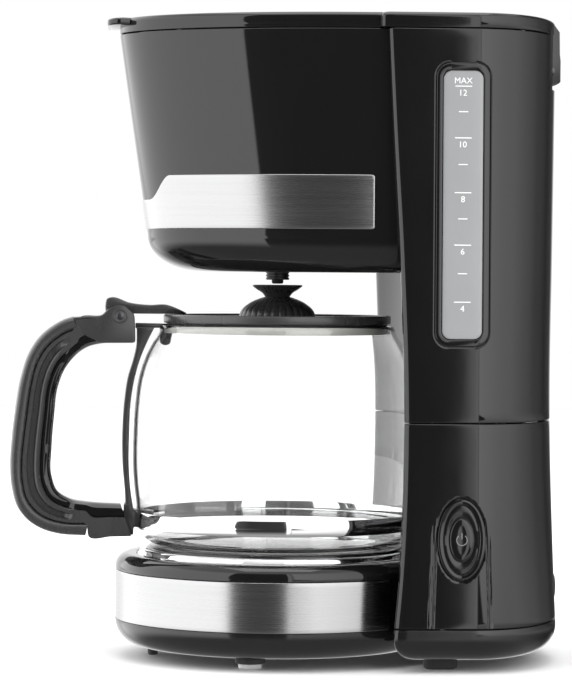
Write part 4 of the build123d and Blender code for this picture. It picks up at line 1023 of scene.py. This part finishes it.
# A (Y, Z) outline carried across X about the middle plane; each edge is rolled over along the outline's
# normal.
def slab(outline, half, bevel=0.5):
    outline = np.asarray(outline, float)
    ahead, behind = np.roll(outline, -1, 0) - outline, outline - np.roll(outline, 1, 0)
    ahead /= np.linalg.norm(ahead, axis=1)[:, None]
    behind /= np.linalg.norm(behind, axis=1)[:, None]
    tangent = ahead + behind
    tangent /= np.linalg.norm(tangent, axis=1)[:, None]
    area = np.sum(outline[:, 0] * np.roll(outline[:, 1], -1) - np.roll(outline[:, 0], -1) * outline[:, 1])
    inside = np.stack([-tangent[:, 1], tangent[:, 0]], -1) * np.sign(area)
    rows = []
    for x, drawIn in [(-half, bevel), (-half + bevel * 0.3, bevel * 0.3), (-half + bevel, 0),
                      (half - bevel, 0), (half - bevel * 0.3, bevel * 0.3), (half, bevel)]:
        ring = outline + inside * drawIn
        rows.append(np.stack([np.full(len(ring), x), ring[:, 0], ring[:, 1]], -1))
    return tubeParts(np.stack(rows), True, True, flip=area < 0)


# A closed outline with its corners rounded.
def rounded(corners, radius=0.8, per=4):
    corners = np.asarray(corners, float)
    out = []
    for k, tip in enumerate(corners):
        before, after = corners[k - 1], corners[(k + 1) % len(corners)]
        a, b = before - tip, after - tip
        r = min(radius, 0.45 * np.linalg.norm(a), 0.45 * np.linalg.norm(b))
        first, last = tip + a / np.linalg.norm(a) * r, tip + b / np.linalg.norm(b) * r
        for t in np.linspace(0, 1, per):
            out.append((1 - t) ** 2 * first + 2 * t * (1 - t) * tip + t**2 * last)
    return np.array(out)


spineBack = [(-77.6, 64), (-77.8, 82), (-79.3, 100), (-79.4, 118), (-78.4, 132), (-76.8, 143),
             (-74.0, 152.5), (-72.4, 160), (-72.3, 168.9)]
spineFront = [(-63.2, 168.9), (-66.2, 162.8), (-70.4, 152.8), (-73.2, 142.8), (-75.0, 132), (-75.8, 115),
              (-75.8, 95), (-74.6, 82), (-73.5, 75.4), (-73.4, 64)]
spine = slab(np.concatenate([smoothPath(spineBack, 40), smoothPath(spineFront, 40)]), 6.6, 0.8)
clip = slab(rounded([(-78.5, 62.2), (-73.4, 62.2), (-73.3, 66.2), (-63.4, 66.8), (-63.0, 74.4),
                     (-73.2, 75.0), (-74.6, 78.2), (-78.5, 78.0)]), 7.0, 0.6)
shoulderBlock = slab(rounded([(-105.8, 173.6), (-90.4, 174.6), (-86.8, 178.4), (-82.0, 180.2),
                              (-78.0, 179.6), (-73.6, 175.4), (-73.2, 169.2), (-73.0, 160.8), (-92, 160.6),
                              (-100, 164.5)], 1.6), 10.6, 1.1)
hook = slab(rounded([(-60.6, 169.6), (-54.8, 169.4), (-53.8, 166.0), (-55.2, 160.2), (-57.6, 159.3),
                     (-60.2, 160.4)], 1.2), 4.0, 0.6)
hookArm = slab(rounded([(-73, 170.9), (-73, 168.2), (-56.5, 168.6), (-56.5, 170.6)], 0.5), 5.0, 0.4)
addPiece("handleCore", joinParts([corePart(bodyShares), spine, shoulderBlock]), "carafe", "handle_plastic",
         ["jug_handle"], sharp=35)
addPiece("handleFingerSide", corePart(fingerShares), "carafe", "handle_plastic", sharp=35,
         finish=glossBlack)


# A dark steel pin along X with small rounded ends.
def roundPin(name, y, z, radius, half, body, replaced):
    profile = [(-half, radius * 0.8), (-half + 0.3, radius), (half - 0.3, radius), (half, radius * 0.8)]
    addPiece(name, alongX(profile, (y, z), 40, True), body, "plain_steel", replaced, finish=darkSteel)


pinPlace = (-80.8, 174.6)
pinSpan = span("hinge_pin")
roundPin("hingePin", hingeY, hingeZ, (pinSpan[1][2] - pinSpan[0][2]) / 2, 33.5, "machine", ["hinge_pin"])
roundPin("jugLidPin", *pinPlace, 2.1, 10.95, "carafe", ["jug_lid_pin"])
collarProfile = [(10.4, 4.1), (10.75, 4.0), (10.95, 3.6), (10.95, 2.9), (10.7, 2.5), (10.4, 2.4)]
addPiece("pinCollar", alongX(collarProfile, pinPlace, 48), "carafe", "handle_plastic")
leverTop = smoothPath([(-88.3, 176.0), (-88.5, 180.5), (-87.6, 183.4), (-85.6, 184.0), (-76, 181.3),
                       (-65.6, 180.2), (-57.4, 180.4), (-51.4, 178.4), (-47.0, 176.3)], 46)
leverOutline = np.concatenate([leverTop, np.array([(-47.2, 175.7), (-60, 175.7), (-74, 175.7), (-76, 175.6),
                                                   (-84, 175.2)])])
addPiece("lidLever", slab(leverOutline, 7.4, 1.0), "carafe", "handle_plastic", ["lid_lever"], sharp=35)
addPiece("handleClip", joinParts([clip, hook, hookArm]), "carafe", "handle_plastic", sharp=35)
print("handle")

# jug lid
lidKnots = [(58.3, 171.2), (58.55, 171.8), (58.55, 174.7), (58.2, 175.3), (57.4, 175.5)]
lidProfile = [(0.01, 168.6), (8.6, 168.6), (8.9, 169.0), (8.9, 171.0), (52.0, 171.2), (52.3, 169.6),
              (56.4, 169.5), (56.8, 170.9)]
lidProfile += lidKnots + [(56.4, 175.3), (55.9, 174.4), (30, 174.0), (20.4, 174.2)]
domeProfile = smoothPath([(19.9, 174.6), (18.6, 177.8), (14.6, 181.4), (9.4, 183.9), (6.3, 184.9)], 22)
cupProfile = smoothPath([(6.3, 184.9), (7.8, 186.8), (10.6, 188.6), (12.6, 190.1)], 12)
rimTop = [(12.9, 190.5), (12.75, 190.9), (12.2, 191.0), (11.2, 190.8), (8.5, 190.2), (4.5, 190.0),
          (2.2, 190.0), (2.0, 189.6), (2.0, 184.0), (0.01, 183.8)]
profile = np.array(lidProfile + domeProfile.tolist() + cupProfile[1:].tolist() + rimTop)
count = 240
angle = np.linspace(0, 2 * np.pi, count, endpoint=False)
grid = np.zeros((len(profile), count, 3))
isDome = (profile[:, 1] > 174.5) & (profile[:, 0] < 20) & (profile[:, 1] < 190.4) & (profile[:, 0] > 6.0)
ribs = 1 - 0.028 * isDome[:, None] * (0.5 + 0.5 * np.cos(30 * angle))[None] ** 4
radius = profile[:, :1] * ribs
grid[..., 0], grid[..., 1], grid[..., 2] = radius * np.cos(angle), radius * np.sin(angle), profile[:, 1:]
addPiece("jugLid", tubeParts(grid), "carafe", "handle_plastic", ["jug_lid"], sharp=35)
sealProfile = [(55.0, 166.3), (55.6, 165.6), (58.0, 165.6), (58.2, 166.2), (58.2, 169.2), (57.0, 169.4),
               (55.2, 169.4)]
addPiece("jugLidSeal", turned(sealProfile, 128, wrapRows=True), "carafe", "handle_plastic",
         finish=siliconeMilk)

# basket, its spout and the drip stop
basketKnots = [(4.4, 194.2), (4.7, 193.6), (5.6, 193.6), (6.0, 193.9), (6.0, 194.6), (5.5, 194.8),
               (5.5, 195.2), (6.0, 195.4), (6.0, 196.2), (5.5, 196.4), (5.5, 196.8), (6.0, 197.0),
               (6.0, 200.6), (7.0, 202.0), (41.6, 202.0), (44.0, 203.2)]
basketKnots += [(50.2, 250.0), (56.2, 296.8), (56.5, 297.6), (56.2, 298.0), (55.2, 298.0), (54.9, 297.6),
                (48.6, 250.0), (42.6, 205.6), (41.0, 204.0), (11.5, 204.0), (11.5, 225.6), (11.1, 226.0),
                (0.4, 226.0), (0.4, 224.2), (9.7, 224.0), (9.7, 206.2), (4.8, 206.0), (4.4, 205.6)]
pegs = [alongX([(x, 1.94) for x in sorted([side * 54.0, side * 59.2])], (0, 294.5), 24, True)
        for side in (-1, 1)]
addPiece("filterBasket", joinParts([turned(basketKnots, 144, wrapRows=True)] + pegs), "basket",
         "inner_plastic", ["filter_basket"])
valveProfile = [(0.01, 191.55), (2.3, 191.6), (2.8, 191.9), (3.0, 192.5), (3.0, 211.15), (8.3, 211.25),
                (8.6, 211.5), (8.6, 212.6), (8.2, 213.0), (0.01, 213.0)]
addPiece("dripValve", turned(valveProfile, 64), "drip_stop", "black_rubber", ["drip_valve"])
print("basket")


# the pieces that stay as the CAD has them
for subpart in frame["record"]["subparts"]:
    node = nodes[subpart["node"]]
    if not node.hide_render:
        node.data.materials.clear()
        node.data.materials.append(slotFinish[subpart["material_slot"]])
        node.data.set_sharp_from_angle(angle=math.radians(35))

# camera
look = {"distance": 1.65, "azimuth": 87.0, "eye": 0.196, "aside": 0.0046, "pitch": 1.16, "roll": 0.45,
        "lens": 169.4}
cameraData = bpy.data.cameras.new("camera")
cameraData.lens, cameraData.sensor_width = look["lens"], 36.0
cameraData.clip_start, cameraData.clip_end = 0.05, 50.0
camera = bpy.data.objects.new("camera", cameraData)
bpy.context.scene.collection.objects.link(camera)
azimuth = math.radians(look["azimuth"])
place = Vector((0, jugY * 0.001 + look["aside"], 0)) + look["distance"] * Vector((math.sin(azimuth),
                                                                                  -math.cos(azimuth), 0))
place.z = look["eye"]
turn = (Matrix.Rotation(azimuth, 4, "Z") @ Matrix.Rotation(math.radians(90 - look["pitch"]), 4, "X")
        @ Matrix.Rotation(math.radians(look["roll"]), 4, "Z"))
camera.matrix_world = Matrix.Translation(place) @ turn
bpy.context.scene.camera = camera
bpy.context.scene.view_settings.view_transform = "Standard"

# studio
world = bpy.data.worlds.new("studio")
bpy.context.scene.world = world
world.use_nodes = True
tree = world.node_tree


# One step of arithmetic on sockets or numbers.
def calc(kind, a, b=None):
    node = tree.nodes.new("ShaderNodeMath")
    node.operation = kind
    for socket, value in zip(node.inputs, (a, b)):
        if isinstance(value, (int, float)):
            socket.default_value = value
        elif value is not None:
            tree.links.new(value, socket)
    return node.outputs[0]


# Product.
def times(a, b):
    return calc("MULTIPLY", a, b)


# One less a.
def without(a):
    return calc("SUBTRACT", 1.0, a)


# 0 below low, 1 above high.
def rise(value, low, high):
    node = tree.nodes.new("ShaderNodeMapRange")
    node.interpolation_type = "SMOOTHSTEP"
    node.inputs["From Min"].default_value, node.inputs["From Max"].default_value = low, high
    tree.links.new(value, node.inputs["Value"])
    return node.outputs["Result"]


# Brightness by direction. Angles are in degrees, round the object from the +X side with the jug's handle as
# positive, or above the horizon. A pair of angles is where something starts to rise and where it is whole.
studio = {
    "brightest": 3.0,
    "round": [(-180, 1.25), (-166, 1.2), (-157, 0.1), (-141, 0.06), (-120, 0.3), (-100, 0.9), (-77, 1.75),
              (-39, 2.45), (-11, 2.8), (-8.6, 0.045), (12, 0.04), (24, 0.04), (60, 0.2), (95, 1.4),
              (130, 1.7), (165, 1.4), (180, 1.25)],
    "panel": 2.45, "panelEdge": 36.0, "panelEnd": (145.0, 165.0), "panelShare": 0.1,
    "side": 2.2, "sideEdge": -6.26, "sideEnd": (5.0, 1.5),
    "lowShift": 14.0, "lowStart": (-6.5, -0.5), "lowEnd": (-9.5, -7.5),
    "sink": 0.5, "sinkStart": (8.0, 9.5), "sinkEnd": (140.0, 165.0), "sinkHeight": (-13.0, 2.0),
    "above": 1.4, "aboveHeight": (38.0, 52.0), "below": 0.4, "belowHeight": (-34.0, -14.0)}
where = tree.nodes.new("ShaderNodeTexCoord")
parted = tree.nodes.new("ShaderNodeSeparateXYZ")
tree.links.new(where.outputs["Generated"], parted.inputs[0])
dx, dy, dz = parted.outputs
degrees = 180 / math.pi
height = times(calc("ARCSINE", dz), degrees)
around = times(calc("ARCTAN2", times(dy, -1.0), dx), degrees)
lowBand = times(without(rise(height, *studio["lowStart"])), rise(height, *studio["lowEnd"]))
lowAngle = times(lowBand, studio["lowShift"])
panelAround = calc("ADD", around, times(lowAngle, studio["panelShare"]))
sideEdge, (sideFar, sideNear) = studio["sideEdge"], studio["sideEnd"]
sideLight = times(without(rise(around, sideEdge - 0.05, sideEdge + 0.05)),
                  times(rise(around, sideEdge - sideFar, sideEdge - sideNear), studio["side"]))
around = calc("ADD", around, lowAngle)
ramp = tree.nodes.new("ShaderNodeValToRGB")
stops = ramp.color_ramp.elements
while len(stops) > 1:
    stops.remove(stops[0])
for k, (angle, bright) in enumerate(studio["round"]):
    stop = stops[0] if k == 0 else stops.new((angle + 180) / 360)
    stop.position = (angle + 180) / 360
    stop.color = (*(3 * [bright / studio["brightest"]]), 1)
tree.links.new(calc("DIVIDE", calc("ADD", around, 180.0), 360.0), ramp.inputs[0])
base = times(ramp.outputs[0], studio["brightest"])
edge = rise(panelAround, studio["panelEdge"] - 0.6, studio["panelEdge"] + 0.6)
panelLight = times(times(edge, without(rise(around, *studio["panelEnd"]))), studio["panel"])
backward = times(around, -1.0)
sink = times(rise(backward, *studio["sinkStart"]), studio["sink"])
sink = times(without(rise(height, *studio["sinkHeight"])), sink)
base = times(base, without(times(sink, without(rise(backward, *studio["sinkEnd"])))))
level = calc("MAXIMUM", calc("MAXIMUM", base, sideLight), panelLight)
for part, share in [("above", rise(height, *studio["aboveHeight"])),
                    ("below", without(rise(height, *studio["belowHeight"])))]:
    level = calc("ADD", times(level, without(share)), times(share, studio[part]))
path = tree.nodes.new("ShaderNodeLightPath")
seen = tree.nodes.new("ShaderNodeMix")
seen.data_type = "FLOAT"
tree.links.new(path.outputs["Is Camera Ray"], seen.inputs["Factor"])
tree.links.new(level, seen.inputs[2])
seen.inputs[3].default_value = 1.0
tree.links.new(seen.outputs[0], tree.nodes["Background"].inputs["Strength"])
tree.nodes["Background"].inputs["Color"].default_value = (1, 1, 1, 1)


# A large soft lamp aimed at a point.
def softLight(name, place, target, size, power):
    data = bpy.data.lights.new(name, "AREA")
    data.shape, data.size, data.size_y, data.energy = "RECTANGLE", size[0], size[1], power
    lamp = bpy.data.objects.new(name, data)
    bpy.context.scene.collection.objects.link(lamp)
    place, target = Vector(place), Vector(target)
    lamp.rotation_mode = "QUATERNION"
    lamp.location = place
    lamp.rotation_quaternion = (target - place).to_track_quat("-Z", "Y")
    lamp.visible_camera = False


topLamp = {"place": (0.1, 0.0, 1.6), "target": (0, 0, 0.1), "size": (1.0, 1.2), "power": 9}
softLight("topBox", **topLamp)

floorMesh = bpy.data.meshes.new("floor")
floorHalf = 3.0
floorCorners = [(x * floorHalf, y * floorHalf, 0) for x, y in [(-1, -1), (1, -1), (1, 1), (-1, 1)]]
floorMesh.from_pydata(floorCorners, [], [(0, 1, 2, 3)])
floor = bpy.data.objects.new("floor", floorMesh)
bpy.context.scene.collection.objects.link(floor)
floorMesh.materials.append(Shader("floorPaper").set(Base_Color=(0.95, 0.95, 0.95, 1),
                                                    Roughness=0.7).material)
floor.visible_glossy = False
